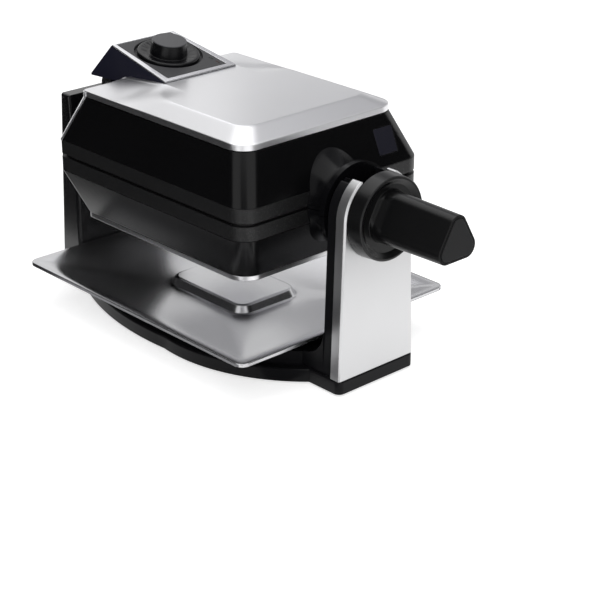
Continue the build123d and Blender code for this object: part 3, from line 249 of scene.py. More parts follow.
def brushed(name, base, roughness, stroke, depth, spread=0.05, shade=0.06, cloud=90 * MM):
    """Brushed or satin metal: fine strokes along one way that vary gloss and tone."""
    material, tree, shader, place = start_material(name, base, roughness, metallic=1.0)
    stretched = add(tree, "ShaderNodeMapping",
                    {"Scale": tuple(1 / size for size in stroke)}, {"Vector": place})
    strokes = add(tree, "ShaderNodeTexNoise", {"Scale": 1.0, "Detail": 4.0, "Roughness": 0.6},
                  {"Vector": stretched.outputs["Vector"]})
    clouds = add(tree, "ShaderNodeTexNoise", {"Scale": 1 / cloud, "Detail": 2.0},
                 {"Vector": place})
    bump = add(tree, "ShaderNodeBump", {"Strength": 1.0, "Distance": depth},
               {"Height": strokes.outputs["Fac"]})
    tree.links.new(bump.outputs["Normal"], shader.inputs["Normal"])
    gloss = add(tree, "ShaderNodeMapRange",
                {"To Min": roughness - spread, "To Max": roughness + spread},
                {"Value": strokes.outputs["Fac"]})
    tree.links.new(gloss.outputs["Result"], shader.inputs["Roughness"])
    darker = [c * (1 - shade) for c in base[:3]] + [1.0]
    tone = add(tree, "ShaderNodeMix", {"data_type": "RGBA", 6: tuple(base), 7: tuple(darker)},
               {0: clouds.outputs["Fac"]})
    tree.links.new(tone.outputs[2], shader.inputs["Base Color"])
    return material


def make_materials(colours):
    """Every finish by name, from the real materials of such an appliance."""
    made = {}
    # Satin stainless steel: a soft grey mirror with barely visible strokes
    made["cover"] = brushed("stainless_satin", colours.cover, 0.30,
                            (0.35 * MM, 40 * MM, 0.35 * MM), 0.004 * MM)
    # Brushed stainless steel: strokes upwards, flat and bright
    made["plate"] = brushed("stainless_brushed", colours.plate, 0.34,
                            (0.3 * MM, 0.3 * MM, 30 * MM), 0.005 * MM)
    # Cold-rolled stainless steel: smoother, mirrors what stands over it
    made["tray"] = brushed("stainless_rolled", colours.tray, 0.25,
                           (0.5 * MM, 60 * MM, 0.5 * MM), 0.002 * MM)
    # Polished mould ABS: deep gloss black with a faint orange peel
    made["shell"] = moulded("abs_gloss_black", colours.shell, 0.2, 0.28, 4 * MM, 0.004 * MM)
    # Spark-eroded PBT: a sandy grain that scatters every highlight, drawn 1 mm coarse to show
    made["band"] = moulded("pbt_spark_textured", colours.band, 0.4, 0.32, 1.0 * MM, 0.05 * MM,
                           speckle=0.02)
    # Glass-filled nylon: a satin skin with a fine matt grain
    made["handle"] = moulded("nylon_satin_black", colours.handle, 0.28, 0.3, 0.5 * MM, 0.01 * MM)
    # Unfilled nylon cap: duller and paler than the grip, so the end reads as its own piece
    made["end_cap"] = moulded("nylon_cap", colours.end_cap, 0.42, 0.2, 0.5 * MM, 0.01 * MM)
    # Polished nylon: nearly black, with one narrow reflection along the neck
    made["neck"] = moulded("nylon_gloss_black", colours.neck, 0.2, 0.1, 3 * MM, 0.004 * MM)
    # Blue-black ABS: a violet cast against the neutral blacks beside it
    made["housing"] = moulded("abs_blue_black", colours.housing, 0.3, 0.12, 2 * MM, 0.004 * MM)
    # Fine-grained grey ABS: an even dark grey that sets off the knob
    made["panel"] = moulded("abs_dark_grey", colours.panel, 0.45, 0.2, 0.4 * MM, 0.006 * MM)
    # Satin ABS: soft upright highlights on the knob's skirt
    made["knob"] = moulded("abs_satin_black", colours.knob, 0.24, 0.25, 1 * MM, 0.004 * MM)
    # Slightly paler ABS: the button stands out from the gloss shell round it
    made["button"] = moulded("abs_satin_violet", colours.button, 0.3, 0.15, 1 * MM, 0.004 * MM)
    # Semi-gloss ABS: pale on the top that mirrors the studio, black on the sides
    made["tower"] = moulded("abs_semi_gloss", colours.tower, 0.24, 0.5, 3 * MM, 0.004 * MM)
    # Semi-matt ABS: a quiet black under the bright steel
    made["base"] = moulded("abs_semi_matt", colours.base, 0.32, 0.12, 0.8 * MM, 0.01 * MM)
    # Acetal: a waxy black for the bearing surfaces
    made["bush"] = moulded("acetal_black", colours.base, 0.3, 0.3, 1 * MM, 0.004 * MM)
    # Moulded rubber: dull, with no highlight to speak of
    made["rubber"] = moulded("rubber_moulded", colours.rubber, 0.75, 0.3, 0.6 * MM, 0.03 * MM)
    # Silver lacquer on plastic: a bright satin skin
    made["frame"] = brushed("lacquer_silver", colours.frame, 0.26,
                            (0.6 * MM, 0.6 * MM, 0.6 * MM), 0.002 * MM)
    # Grey ABS insert: a dull sheen, paler than the knob round it
    made["knob_cap"] = moulded("abs_insert_grey", colours.knob_cap, 0.4, 0.4,
                               0.4 * MM, 0.006 * MM)
    # Cast aluminium under a non-stick coat: dark, soft gloss, slightly rough
    made["coating"] = moulded("aluminium_coated", colours.coating, 0.38, 0.5,
                              0.6 * MM, 0.02 * MM)
    # Turned steel: a plain grey metal inside and on the shaft
    made["steel"] = brushed("steel_turned", colours.steel, 0.35,
                            (0.3 * MM, 0.3 * MM, 0.3 * MM), 0.004 * MM)
    # Steel oxidised by heat: brownish and dull
    made["oxidised"] = brushed("steel_oxidised", colours.oxidised, 0.45,
                               (1 * MM, 1 * MM, 1 * MM), 0.01 * MM)
    # Powder-coated steel: black with a pebbled skin
    made["painted"] = moulded("steel_powder_coated", colours.powder, 0.4, 0.35,
                              0.6 * MM, 0.02 * MM)
    # Tinted polycarbonate: dark glossy lenses, as the lamps are off
    made["lamp_red"] = moulded("polycarbonate_red", colours.red_lens, 0.15, 0.5,
                               1 * MM, 0.001 * MM)
    made["lamp_green"] = moulded("polycarbonate_green", colours.green_lens, 0.15, 0.5,
                                 1 * MM, 0.001 * MM)
    return made


def settings():
    """The add-on's settings on the scene."""
    scene = bpy.context.scene
    return scene.waffle_colours, scene.waffle_sizes, scene.waffle_stage


MADE = {}


def materials():
    """The finishes, made once."""
    if not MADE:
        MADE.update(make_materials(settings()[0]))
    return MADE


def keep(piece, node, finish, also=()):
    """Gives a finished piece its material and its body, and hides the nodes that it stands for."""
    piece.data.materials.clear()
    piece.data.materials.append(materials()[finish])
    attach(piece, BODY_OF[node])
    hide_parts(node, *also)
    return piece


def baked(piece):
    """Turns a piece with modifiers into a plain mesh piece of the same name."""
    bpy.context.view_layer.update()
    evaluated = piece.evaluated_get(bpy.context.evaluated_depsgraph_get())
    mesh = bpy.data.meshes.new_from_object(evaluated)
    piece.modifiers.clear()
    old = piece.data
    piece.data = mesh
    bpy.data.meshes.remove(old)
    mesh.name = piece.name
    return piece


def dress(node, finish, rounding, segments=2, sharp=32.0, flat=0.4):
    """Copies a CAD node, joins its facets, rounds its edges and shades it smooth.

    Edges sharper than sharp degrees are rounded, and facets within flat degrees become one.
    """
    mesh = frame["nodes"][node].data.copy()
    shape = bmesh.new()
    shape.from_mesh(mesh)
    bmesh.ops.remove_doubles(shape, verts=shape.verts, dist=MERGE_DISTANCE)
    bmesh.ops.dissolve_limit(shape, angle_limit=math.radians(flat), verts=shape.verts,
                             edges=shape.edges, delimit=set())
    shape.to_mesh(mesh)
    shape.free()
    mesh.shade_smooth()
    piece = bpy.data.objects.new(node + "_finished", mesh)
    bpy.context.scene.collection.objects.link(piece)
    if rounding > 0:
        bevel = piece.modifiers.new("Rounding", "BEVEL")
        bevel.width = rounding
        bevel.segments = segments
        bevel.limit_method = "ANGLE"
        bevel.angle_limit = math.radians(sharp)
        bevel.miter_outer = "MITER_ARC"
        bevel.use_clamp_overlap = True
    weighted = piece.modifiers.new("Flat faces", "WEIGHTED_NORMAL")
    weighted.keep_sharp = True
    baked(piece)
    return keep(piece, node, finish)


def paint(node, finish):
    """Gives a CAD node a material without changing it."""
    mesh = frame["nodes"][node].data
    mesh.materials.clear()
    mesh.materials.append(materials()[finish])


def rounded_ring(half_x, front, back, front_radius, back_radius, corner_steps=8, side_steps=16):
    """Plan of a rounded rectangle, anticlockwise from above, starting at its right back corner."""
    corners = (
        (half_x - back_radius, back - back_radius, back_radius, 0),
        (back_radius - half_x, back - back_radius, back_radius, 90),
        (front_radius - half_x, front + front_radius, front_radius, 180),
        (half_x - front_radius, front + front_radius, front_radius, 270),
    )
    arcs = []
    for x, y, radius, start in corners:
        angles = [math.radians(start + 90 * step / corner_steps) for step in range(corner_steps + 1)]
        arcs.append([(x + radius * math.cos(a), y + radius * math.sin(a)) for a in angles])
    points = []
    for arc, following in zip(arcs, arcs[1:] + arcs[:1]):
        points += arc
        for step in range(1, side_steps):
            share = step / side_steps
            points.append(tuple(a + (b - a) * share for a, b in zip(arc[-1], following[0])))
    return points


def add_rows(shape, rows, ring=True, end_face=False):
    """Adds quads between rows of as many points each, and may close the last row."""
    made = [[shape.verts.new(point) for point in row] for row in rows]
    for low, high in zip(made, made[1:]):
        for i in range(len(low) if ring else len(low) - 1):
            j = (i + 1) % len(low)
            shape.faces.new((low[i], low[j], high[j], high[i]))
    if end_face:
        shape.faces.new(made[-1])


def sheet_piece(name, shape, thickness):
    """A pressed sheet: the mesh as its outer side, thickened inwards."""
    mesh = bpy.data.meshes.new(name)
    shape.to_mesh(mesh)
    shape.free()
    mesh.shade_smooth()
    piece = bpy.data.objects.new(name, mesh)
    bpy.context.scene.collection.objects.link(piece)
    wall = piece.modifiers.new("Sheet", "SOLIDIFY")
    wall.thickness = thickness
    wall.offset = -1
    return baked(piece)


def eased(value, low, high):
    """Zero below low, one above high, and smooth between."""
    share = min(1.0, max(0.0, (value - low) / (high - low)))
    return share * share * (3 - 2 * share)


# The photo's camera, fitted to the object: degrees, millimetres and metres
CAMERA_AZIMUTH = -42.740
CAMERA_ELEVATION = 24.131
CAMERA_LENS = 103.99
SENSOR_WIDTH = 36
CAMERA_PLACE = (-0.972393, -1.098295, 0.688077)

# Where the softboxes point, in metres
LIT_POINT = (0, 0, 0.15)

# Studio cards that only reflections see: name, corner, two sides in metres, and grey
CARDS = (
    # The dark left side: on the floor, upright and at the back
    ("left_floor_flag", (-0.8, -0.12, 0.002), (0.67, 0, 0), (0, 1.1, 0), 0.04),
    ("left_flag", (-0.5, 0.05, 0), (0, 1.4, 0), (0, 0, 1.0), 0.03),
    ("back_left_flag", (-0.75, 1.0, 0.15), (0.63, 0, 0), (0, 0, 1.4), 0.03),
    # The dark front: one upright and two on the floor
    ("front_flag", (0.4, -1.3, 0.15), (0.9, 0.7, 0), (0, 0, 0.9), 0.03),
    ("front_floor_flag", (-0.06, -0.9, 0.002), (0.36, 0, 0), (0.02, 0.5, 0), 0.03),
    ("foot_flag", (0.0, -0.142, 0.002), (0.3, 0, 0), (0, 0.035, 0), 0.03),
    # Grey at the back right, with a white gap between two cards, and on the right
    ("high_card", (0.48, 0.60, 0.47), (0.6, -0.56, 0), (0, 0, 0.75), 0.45),
    ("low_card", (0.48, 0.60, 0.05), (0.6, -0.56, 0), (0, 0, 0.25), 0.45),
    ("right_card", (1.0, -0.5, 0.75), (0, 1.3, 0), (0, 0, 1.5), 0.55),
    # Smaller greys for the covers' lips, the tray's hem, one corner and one strip
    ("lower_lip_card", (-0.38, -0.36, 0.002), (0.19, 0, 0), (0, 0.19, 0), 0.25),
    ("upper_lip_card", (-0.70, -0.58, 0.002), (0.24, 0, 0), (0, 0.24, 0), 0.4),
    ("front_lip_card", (0.2, -0.68, 0.003), (0.6, 0, 0), (0, 0.26, 0), 0.12),
    ("hem_card", (-0.215, -0.12, 0.003), (0.06, 0, 0), (0, 0.35, 0), 0.4),
    ("corner_flag", (-0.68, -0.36, 0.45), (0.28, -0.3, 0), (0, 0, 0.3), 0.1),
    ("strip_card", (-0.14, -0.17, 0.002), (0.08, 0, 0), (0, 0.09, 0), 0.12),
    # A bright line along a crease of the crown
    ("crease_card", (0.49, 0.45, 0.904), (0, 0.6, 0), (-0.143, 0, 0.092), 2.0),
)
# The blue of a card against its grey
CARD_BLUE = 1.03


class WAFFLE_OT_stage(bpy.types.Operator):
    """Set the camera, the lights, the floor and the background"""

    bl_idname = "waffle.stage"
    bl_label = "Stage"

    def execute(self, context):
        stage = settings()[2]
        self.camera(context.scene)
        # Only the overhead light shows in a gloss, where the cards shade the rest
        for name, power, size, place, highlight in (
            ("overhead", stage.overhead, (1.5, 1.5), (0.0, 0.1, 1.6), True),
            ("key", stage.key, (0.6, 1.3), (-0.95, -1.04, 0.75), False),
            ("side", stage.side, (0.9, 0.9), (1.6, -1.2, 1.2), False),
        ):
            self.softbox(name, power, size, Vector(place), highlight)
        for card in CARDS:
            self.card(*card)

        reach = stage.floor_reach
        floor_mesh = bpy.data.meshes.new("floor")
        floor_mesh.from_pydata(
            [(-reach, -reach, 0), (reach, -reach, 0), (reach, reach, 0), (-reach, reach, 0)],
            [], [(0, 1, 2, 3)])
        floor = bpy.data.objects.new("floor", floor_mesh)
        context.scene.collection.objects.link(floor)
        floor.data.materials.append(self.floor_material())
        self.world(context.scene, stage.ambient)
        view = context.scene.view_settings
        view.view_transform = "Standard"
        return {"FINISHED"}

    def camera(self, scene):
        """The photo's own view of the object."""
        azimuth, elevation = math.radians(CAMERA_AZIMUTH), math.radians(CAMERA_ELEVATION)
        right = Vector((math.cos(azimuth), math.sin(azimuth), 0))
        back = Vector((math.sin(azimuth) * math.cos(elevation),
                       -math.cos(azimuth) * math.cos(elevation), math.sin(elevation)))
        up = back.cross(right)
        data = bpy.data.cameras.new("photo_camera")
        data.sensor_width = SENSOR_WIDTH
        data.lens = CAMERA_LENS
        camera = bpy.data.objects.new("photo_camera", data)
        camera.matrix_world = Matrix.Translation(Vector(CAMERA_PLACE)) @ Matrix(
            (right, up, back)).transposed().to_4x4()
        scene.collection.objects.link(camera)
        scene.camera = camera

    def softbox(self, name, power, size, place, highlight):
        """One rectangular area light that faces the object, and may leave a highlight on it."""
        data = bpy.data.lights.new(name, "AREA")
        data.shape = "RECTANGLE"
        data.size, data.size_y = size
        data.energy = power
        lamp = bpy.data.objects.new(name, data)
        lamp.location = place
        lamp.rotation_euler = (Vector(LIT_POINT) - place).to_track_quat("-Z", "Y").to_euler()
        bpy.context.scene.collection.objects.link(lamp)
        lamp.visible_camera = False
        lamp.visible_glossy = highlight

    def card(self, name, corner, along, upwards, shade):
        """A dark or bright studio card that only reflections see, to shade one side of a gloss."""
        corner, along, upwards = Vector(corner), Vector(along), Vector(upwards)
        mesh = bpy.data.meshes.new(name)
        mesh.from_pydata(
            [corner, corner + along, corner + along + upwards, corner + upwards],
            [], [(0, 1, 2, 3)])
        card = bpy.data.objects.new(name, mesh)
        bpy.context.scene.collection.objects.link(card)
        material = bpy.data.materials.new(name)
        material.use_nodes = True
        tree = material.node_tree
        tree.nodes.clear()
        tone = (shade, shade, shade * CARD_BLUE, 1)
        cloth = add(tree, "ShaderNodeEmission", {"Color": tone})
        add(tree, "ShaderNodeOutputMaterial", links={"Surface": cloth.outputs[0]})
        mesh.materials.append(material)
        card.visible_camera = False
        card.visible_diffuse = False
        card.visible_transmission = False
        card.visible_shadow = False

    def seen_directly(self, tree):
        """One where a ray from the camera, a gloss or a glass sees the surface."""
        path = add(tree, "ShaderNodeLightPath")
        seen = add(tree, "ShaderNodeMath", {"operation": "MAXIMUM"},
                   {0: path.outputs["Is Camera Ray"], 1: path.outputs["Is Glossy Ray"]})
        return add(tree, "ShaderNodeMath", {"operation": "MAXIMUM"},
                   {0: seen.outputs[0], 1: path.outputs["Is Transmission Ray"]}).outputs[0]

    def floor_material(self):
        """A pale matt floor that fades to white, and keeps the object's shadow."""
        material = bpy.data.materials.new("floor_pale")
        material.use_nodes = True
        tree = material.node_tree
        tree.nodes.clear()
        matt = add(tree, "ShaderNodeBsdfDiffuse", {"Color": tuple(settings()[0].floor)})
        glow = add(tree, "ShaderNodeEmission", {"Color": (1, 1, 1, 1)})
        strength = add(tree, "ShaderNodeMath",
                       {"operation": "MULTIPLY", 1: settings()[2].floor_glow},
                       {0: self.seen_directly(tree)})
        tree.links.new(strength.outputs[0], glow.inputs["Strength"])
        both = add(tree, "ShaderNodeAddShader", links={0: matt.outputs[0], 1: glow.outputs[0]})
        add(tree, "ShaderNodeOutputMaterial", links={"Surface": both.outputs[0]})
        return material

    def world(self, scene, ambient):
        """White where it is seen, and a plain even light elsewhere."""
        world = bpy.data.worlds.new("studio")
        world.use_nodes = True
        tree = world.node_tree
        tree.nodes.clear()
        strength = add(tree, "ShaderNodeMapRange", {"To Min": ambient, "To Max": 1.0},
                       {"Value": self.seen_directly(tree)})
        light = add(tree, "ShaderNodeBackground", {"Color": (1, 1, 1, 1)},
                    {"Strength": strength.outputs["Result"]})
        add(tree, "ShaderNodeOutputWorld", links={"Surface": light.outputs[0]})
        scene.world = world


class WAFFLE_OT_covers(bpy.types.Operator):
    """Finish the satin steel covers of both halves"""

    bl_idname = "waffle.covers"
    bl_label = "Covers"

    def execute(self, context):
        sizes = settings()[1]
        dress("lower_cover", "cover", sizes.sheet_edge, segments=3)
        shape = bmesh.new()
        self.add_crown(shape, sizes)
        self.add_apron(shape, sizes)
        piece = sheet_piece("upper_cover_finished", shape, sizes.cover_sheet)
        keep(piece, "upper_cover", "cover")
        return {"FINISHED"}

    def add_crown(self, shape, sizes):
        """The rim, the slope, the crown, and the seat that falls away beside the dial."""
        low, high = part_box("lower_cover")
        half_x, front, back = high[0], low[1], high[1]
        z_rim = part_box("upper_shell")[1][2]
        z_lip = z_rim + sizes.lip_height
        dial_low, dial_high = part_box("dial_frame")
        y_dial = dial_low[1]
        seat_top = dial_low[2]
        # The seat's steep edge stands a millimetre beside the dial frame
        seat_half = dial_high[0] + MM
        # The slope narrows to this share at the back
        back_share = 0.08
        # The crease round the crown, as a share of the slope, and how it softens to the dial
        crease_share, crease_growth = 0.06, 0.6
        soft_start, soft_end = y_dial - 48 * MM, y_dial - 18 * MM
        # Where the crown dips into the seat, and where the bead beside the housing rises
        dip_start, dip_end = y_dial - 40 * MM, y_dial + 18 * MM
        bead_start, bead_end = y_dial - 2 * MM, y_dial + 8 * MM
        bead_half, bead_place = 1.2 * MM, half_x - seat_half - MM
        # The seat is hollow across, and rounds over to its back edge
        hollow, back_rounding = 1.8, 3.6 * MM
        tightest = 2 * MM

        def height(x, y, inset):
            crease = crease_share + crease_growth * eased(y, soft_start, soft_end)
            share = min(inset / sizes.crown_inset, 1 + crease)
            if share > 1 - crease:
                share -= (share - 1 + crease) ** 2 / (4 * crease)
            crown = sizes.crown_rise * share
            seat = seat_top - z_lip
            seat -= sizes.seat_fall * max(0.0, (y - y_dial) / (back - y_dial))
            reach = min(1.0, max(0.0, (half_x - abs(x)) / (half_x - seat_half)))
            closing = min(1.0, (back - y) / back_rounding)
            cove = seat * reach ** hollow
            bead = max(0.0, 1 - abs(half_x - abs(x) - bead_place) / bead_half)
            cove += sizes.seat_bead * bead * eased(y, bead_start, bead_end)
            cove *= math.sqrt(max(0.0, 1 - (1 - closing) ** 2))
            blend = eased(y, dip_start, dip_end)
            return z_lip + crown * (1 - blend) + cove * blend

        def ring(inset):
            tightening = (sizes.cover_corner - sizes.crown_corner) / sizes.crown_inset
            front_radius = max(tightest, sizes.cover_corner - inset * tightening)
            front_radius = min(front_radius, half_x - inset)
            back_radius = min(sizes.cover_back_corner * (1 - back_share), half_x - inset)
            return rounded_ring(half_x - inset, front + inset, back - back_share * inset,
                                front_radius, back_radius, side_steps=48)

        # The upright rim and its rounding, with rows that keep its shading crisp
        edge = sizes.lip_edge
        rows = [
            [(x, y, z) for x, y in ring(inset)]
            for inset, z in (
                (0.0, z_rim + sizes.lip_gap),
                (0.0, z_rim + sizes.lip_gap + 0.4 * edge),
                (0.0, z_lip - 1.4 * edge),
                (0.0, z_lip - edge),
                (0.1 * edge, z_lip - 0.6 * edge),
                (0.4 * edge, z_lip - 0.2 * edge),
            )
        ]
        # Fine steps at the crease, the seat's edge and the lip, and coarse ones between
        fine, coarse = 0.5 * MM, 2.2 * MM
        crease_zone, seat_zone = 2 * MM, 3 * MM
        inset = edge
        while inset < half_x - MM:
            rows.append([(x, y, height(x, y, inset)) for x, y in ring(inset)])
            near_crease = abs(inset - sizes.crown_inset) < crease_zone
            near_seat = abs(inset - half_x + seat_half) < seat_zone
            inset += fine if near_crease or near_seat or inset < 2 * edge else coarse
        # The last ring lies on the middle line, where its two sides are merged
        rows.append([(x, y, height(x, y, half_x)) for x, y in ring(half_x)])
        add_rows(shape, rows)
        bmesh.ops.remove_doubles(shape, verts=shape.verts, dist=MERGE_DISTANCE)

    def add_apron(self, shape, sizes):
        """The sheet that runs down the sloped back of the shell."""
        band_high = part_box("upper_band")[1]
        cover_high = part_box("lower_cover")[1]
        z_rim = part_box("upper_shell")[1][2]
        levels = (
            (band_high[0], band_high[1], band_high[2]),
            (cover_high[0], cover_high[1], z_rim),
            (cover_high[0], cover_high[1], z_rim + sizes.lip_height - sizes.sheet_edge),
        )
        radius = sizes.apron_corner
        corner_steps = 8
        arc = [math.radians(90 * step / corner_steps) for step in range(corner_steps + 1)]
        rows = []
        for half_x, back, z in levels:
            half_x += sizes.cover_sheet
            back += sizes.cover_sheet
            reach = back - sizes.apron_reach
            right = [(half_x - radius + radius * math.cos(a), back - radius + radius * math.sin(a))
                     for a in arc]
            left = [(-x, y) for x, y in reversed(right)]
            plan = [(half_x, reach), *right, *left, (-half_x, reach)]
            rows.append([(x, y, z) for x, y in plan])
        add_rows(shape, rows, ring=False)


class WAFFLE_OT_shells(bpy.types.Operator):
    """Finish the shells, the bands and the release buttons"""

    bl_idname = "waffle.shells"
    bl_label = "Shells and bands"

    def execute(self, context):
        sizes = settings()[1]
        for half in ("upper", "lower"):
            dress(f"{half}_shell", "shell", sizes.shell_edge)
            dress(f"{half}_band", "band", sizes.band_edge)
            dress(f"{half}_release_button", "button", sizes.small_edge)
        return {"FINISHED"}


class WAFFLE_OT_neck(bpy.types.Operator):
    """Finish the neck, the flange and the handle"""

    bl_idname = "waffle.neck"
    bl_label = "Neck and handle"

    def execute(self, context):
        sizes = settings()[1]
        for node in ("upper_neck", "lower_neck"):
            dress(node, "neck", sizes.neck_edge)
        dress("handle_grip", "handle", sizes.handle_edge, segments=3)
        dress("handle_end_cap", "end_cap", sizes.small_edge)
        paint("handle_core", "steel")
        return {"FINISHED"}


class WAFFLE_OT_column(bpy.types.Operator):
    """Finish the front column with its bright plate and its cradle"""

    bl_idname = "waffle.column"
    bl_label = "Front column"

    def execute(self, context):
        sizes = settings()[1]
        dress("column_face_plate", "plate", sizes.plate_edge, segments=3)
        dress("column_pillar", "base", sizes.base_edge)
        dress("cradle_bush", "bush", 0.0)
        return {"FINISHED"}


class WAFFLE_OT_base(bpy.types.Operator):
    """Finish the base, its feet and its screws"""

    bl_idname = "waffle.base"
    bl_label = "Base"

    def execute(self, context):
        sizes = settings()[1]
        dress("base_shell", "base", sizes.base_edge)
        paint("bottom_plate", "base")
        self.repeat("rubber_feet_finished", "rubber_foot", "rubber", {
            "Lower Radius": sizes.foot_radius - sizes.foot_step,
            "Lower Height": sizes.foot_height / 2,
            "Upper Radius": sizes.foot_radius,
            "Upper Height": sizes.foot_height / 2,
            "Rounding": sizes.foot_rounding,
        })
        self.repeat("base_screws_finished", "base_screw", "steel", {
            "Lower Radius": sizes.screw_head_radius,
            "Lower Height": sizes.screw_head_height,
            "Upper Radius": sizes.screw_radius,
            "Upper Height": sizes.screw_length,
            "Rounding": sizes.screw_rounding,
        })
        return {"FINISHED"}

    def repeat(self, name, start, finish, values):
        """One piece that stands at each node whose name starts so, made by Geometry Nodes."""
        nodes = sorted(node for node in frame["nodes"] if node.startswith(start))
        if not nodes:
            raise RuntimeError(f"no node is named {start}")
        points = []
        for node in nodes:
            low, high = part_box(node)
            points.append(((low[0] + high[0]) / 2, (low[1] + high[1]) / 2, low[2]))
        mesh = bpy.data.meshes.new(name)
        mesh.from_pydata(points, [], [])
        piece = bpy.data.objects.new(name, mesh)
        bpy.context.scene.collection.objects.link(piece)
        modifier = piece.modifiers.new("Two tiers", "NODES")
        modifier.node_group = self.tiers()
        for item in modifier.node_group.interface.items_tree:
            if item.name in values:
                modifier[item.identifier] = values[item.name]
            if item.name == "Material":
                modifier[item.identifier] = materials()[finish]
        keep(baked(piece), nodes[0], finish, nodes[1:])

    def tiers(self):
        """A round piece of two tiers at every point, with the lower one rounded."""
        if "two_tiers" in bpy.data.node_groups:
            return bpy.data.node_groups["two_tiers"]
        tree = bpy.data.node_groups.new("two_tiers", "GeometryNodeTree")
        sockets = tree.interface
        sockets.new_socket("Geometry", in_out="OUTPUT", socket_type="NodeSocketGeometry")
        sockets.new_socket("Geometry", in_out="INPUT", socket_type="NodeSocketGeometry")
        for label in ("Lower Radius", "Lower Height", "Upper Radius", "Upper Height", "Rounding"):
            sockets.new_socket(label, in_out="INPUT", socket_type="NodeSocketFloat")
        sockets.new_socket("Material", in_out="INPUT", socket_type="NodeSocketMaterial")
        given = tree.nodes.new("NodeGroupInput").outputs
        inner = add(tree, "ShaderNodeMath", {"operation": "SUBTRACT"},
                    {0: given["Lower Radius"], 1: given["Rounding"]}).outputs[0]
        roundings = add(tree, "ShaderNodeMath", {"operation": "MULTIPLY", 1: 2.0},
                        {0: given["Rounding"]}).outputs[0]
        straight = add(tree, "ShaderNodeMath", {"operation": "SUBTRACT"},
                       {0: given["Lower Height"], 1: roundings}).outputs[0]
        disc = add(tree, "GeometryNodeMeshCircle", {"fill_type": "NGON", "Vertices": 48},
                   {"Radius": inner}).outputs[0]
        underside = add(tree, "GeometryNodeFlipFaces", links={"Mesh": disc}).outputs[0]
        shape, top, size = disc, None, inner
        # Each step lifts the top face and brings it to its radius; the fourth only changes size
        for rise, radius in (
            (given["Rounding"], given["Lower Radius"]),
            (straight, given["Lower Radius"]),
            (given["Rounding"], inner),
            (None, given["Upper Radius"]),
            (given["Upper Height"], given["Upper Radius"]),
        ):
            step = add(tree, "GeometryNodeExtrudeMesh",
                       {"mode": "FACES", "Individual": False, "Offset Scale": 0.0},
                       {"Mesh": shape})
            if rise is not None:
                tree.links.new(rise, step.inputs["Offset Scale"])
            if top is not None:
                tree.links.new(top, step.inputs["Selection"])
            top = step.outputs["Top"]
            growth = add(tree, "ShaderNodeMath", {"operation": "DIVIDE"}, {0: radius, 1: size})
            shape = add(tree, "GeometryNodeScaleElements", {"domain": "FACE"}, {
                "Geometry": step.outputs["Mesh"], "Selection": top,
                "Scale": growth.outputs[0]}).outputs[0]
            size = radius
        both = tree.nodes.new("GeometryNodeJoinGeometry")
        tree.links.new(underside, both.inputs[0])
        tree.links.new(shape, both.inputs[0])
        closed = add(tree, "GeometryNodeMergeByDistance", {"Distance": MERGE_DISTANCE},
                     {"Geometry": both.outputs[0]})
        placed = add(tree, "GeometryNodeInstanceOnPoints", links={
            "Points": given["Geometry"], "Instance": closed.outputs[0]})
        real = add(tree, "GeometryNodeRealizeInstances",
                   links={"Geometry": placed.outputs[0]})
        coloured = add(tree, "GeometryNodeSetMaterial", links={
            "Geometry": real.outputs[0], "Material": given["Material"]})
        add(tree, "NodeGroupOutput", links={"Geometry": coloured.outputs[0]})
        return tree


class WAFFLE_OT_tower(bpy.types.Operator):
    """Finish the rear tower, its cover, its bearing and its gland"""

    bl_idname = "waffle.tower"
    bl_label = "Rear tower"

    def execute(self, context):
        sizes = settings()[1]
        dress("rear_tower", "tower", sizes.base_edge)
        dress("tower_back_cover", "tower", sizes.small_edge)
        dress("rear_bearing", "bush", sizes.small_edge)
        dress("cable_gland", "rubber", sizes.small_edge)
        return {"FINISHED"}


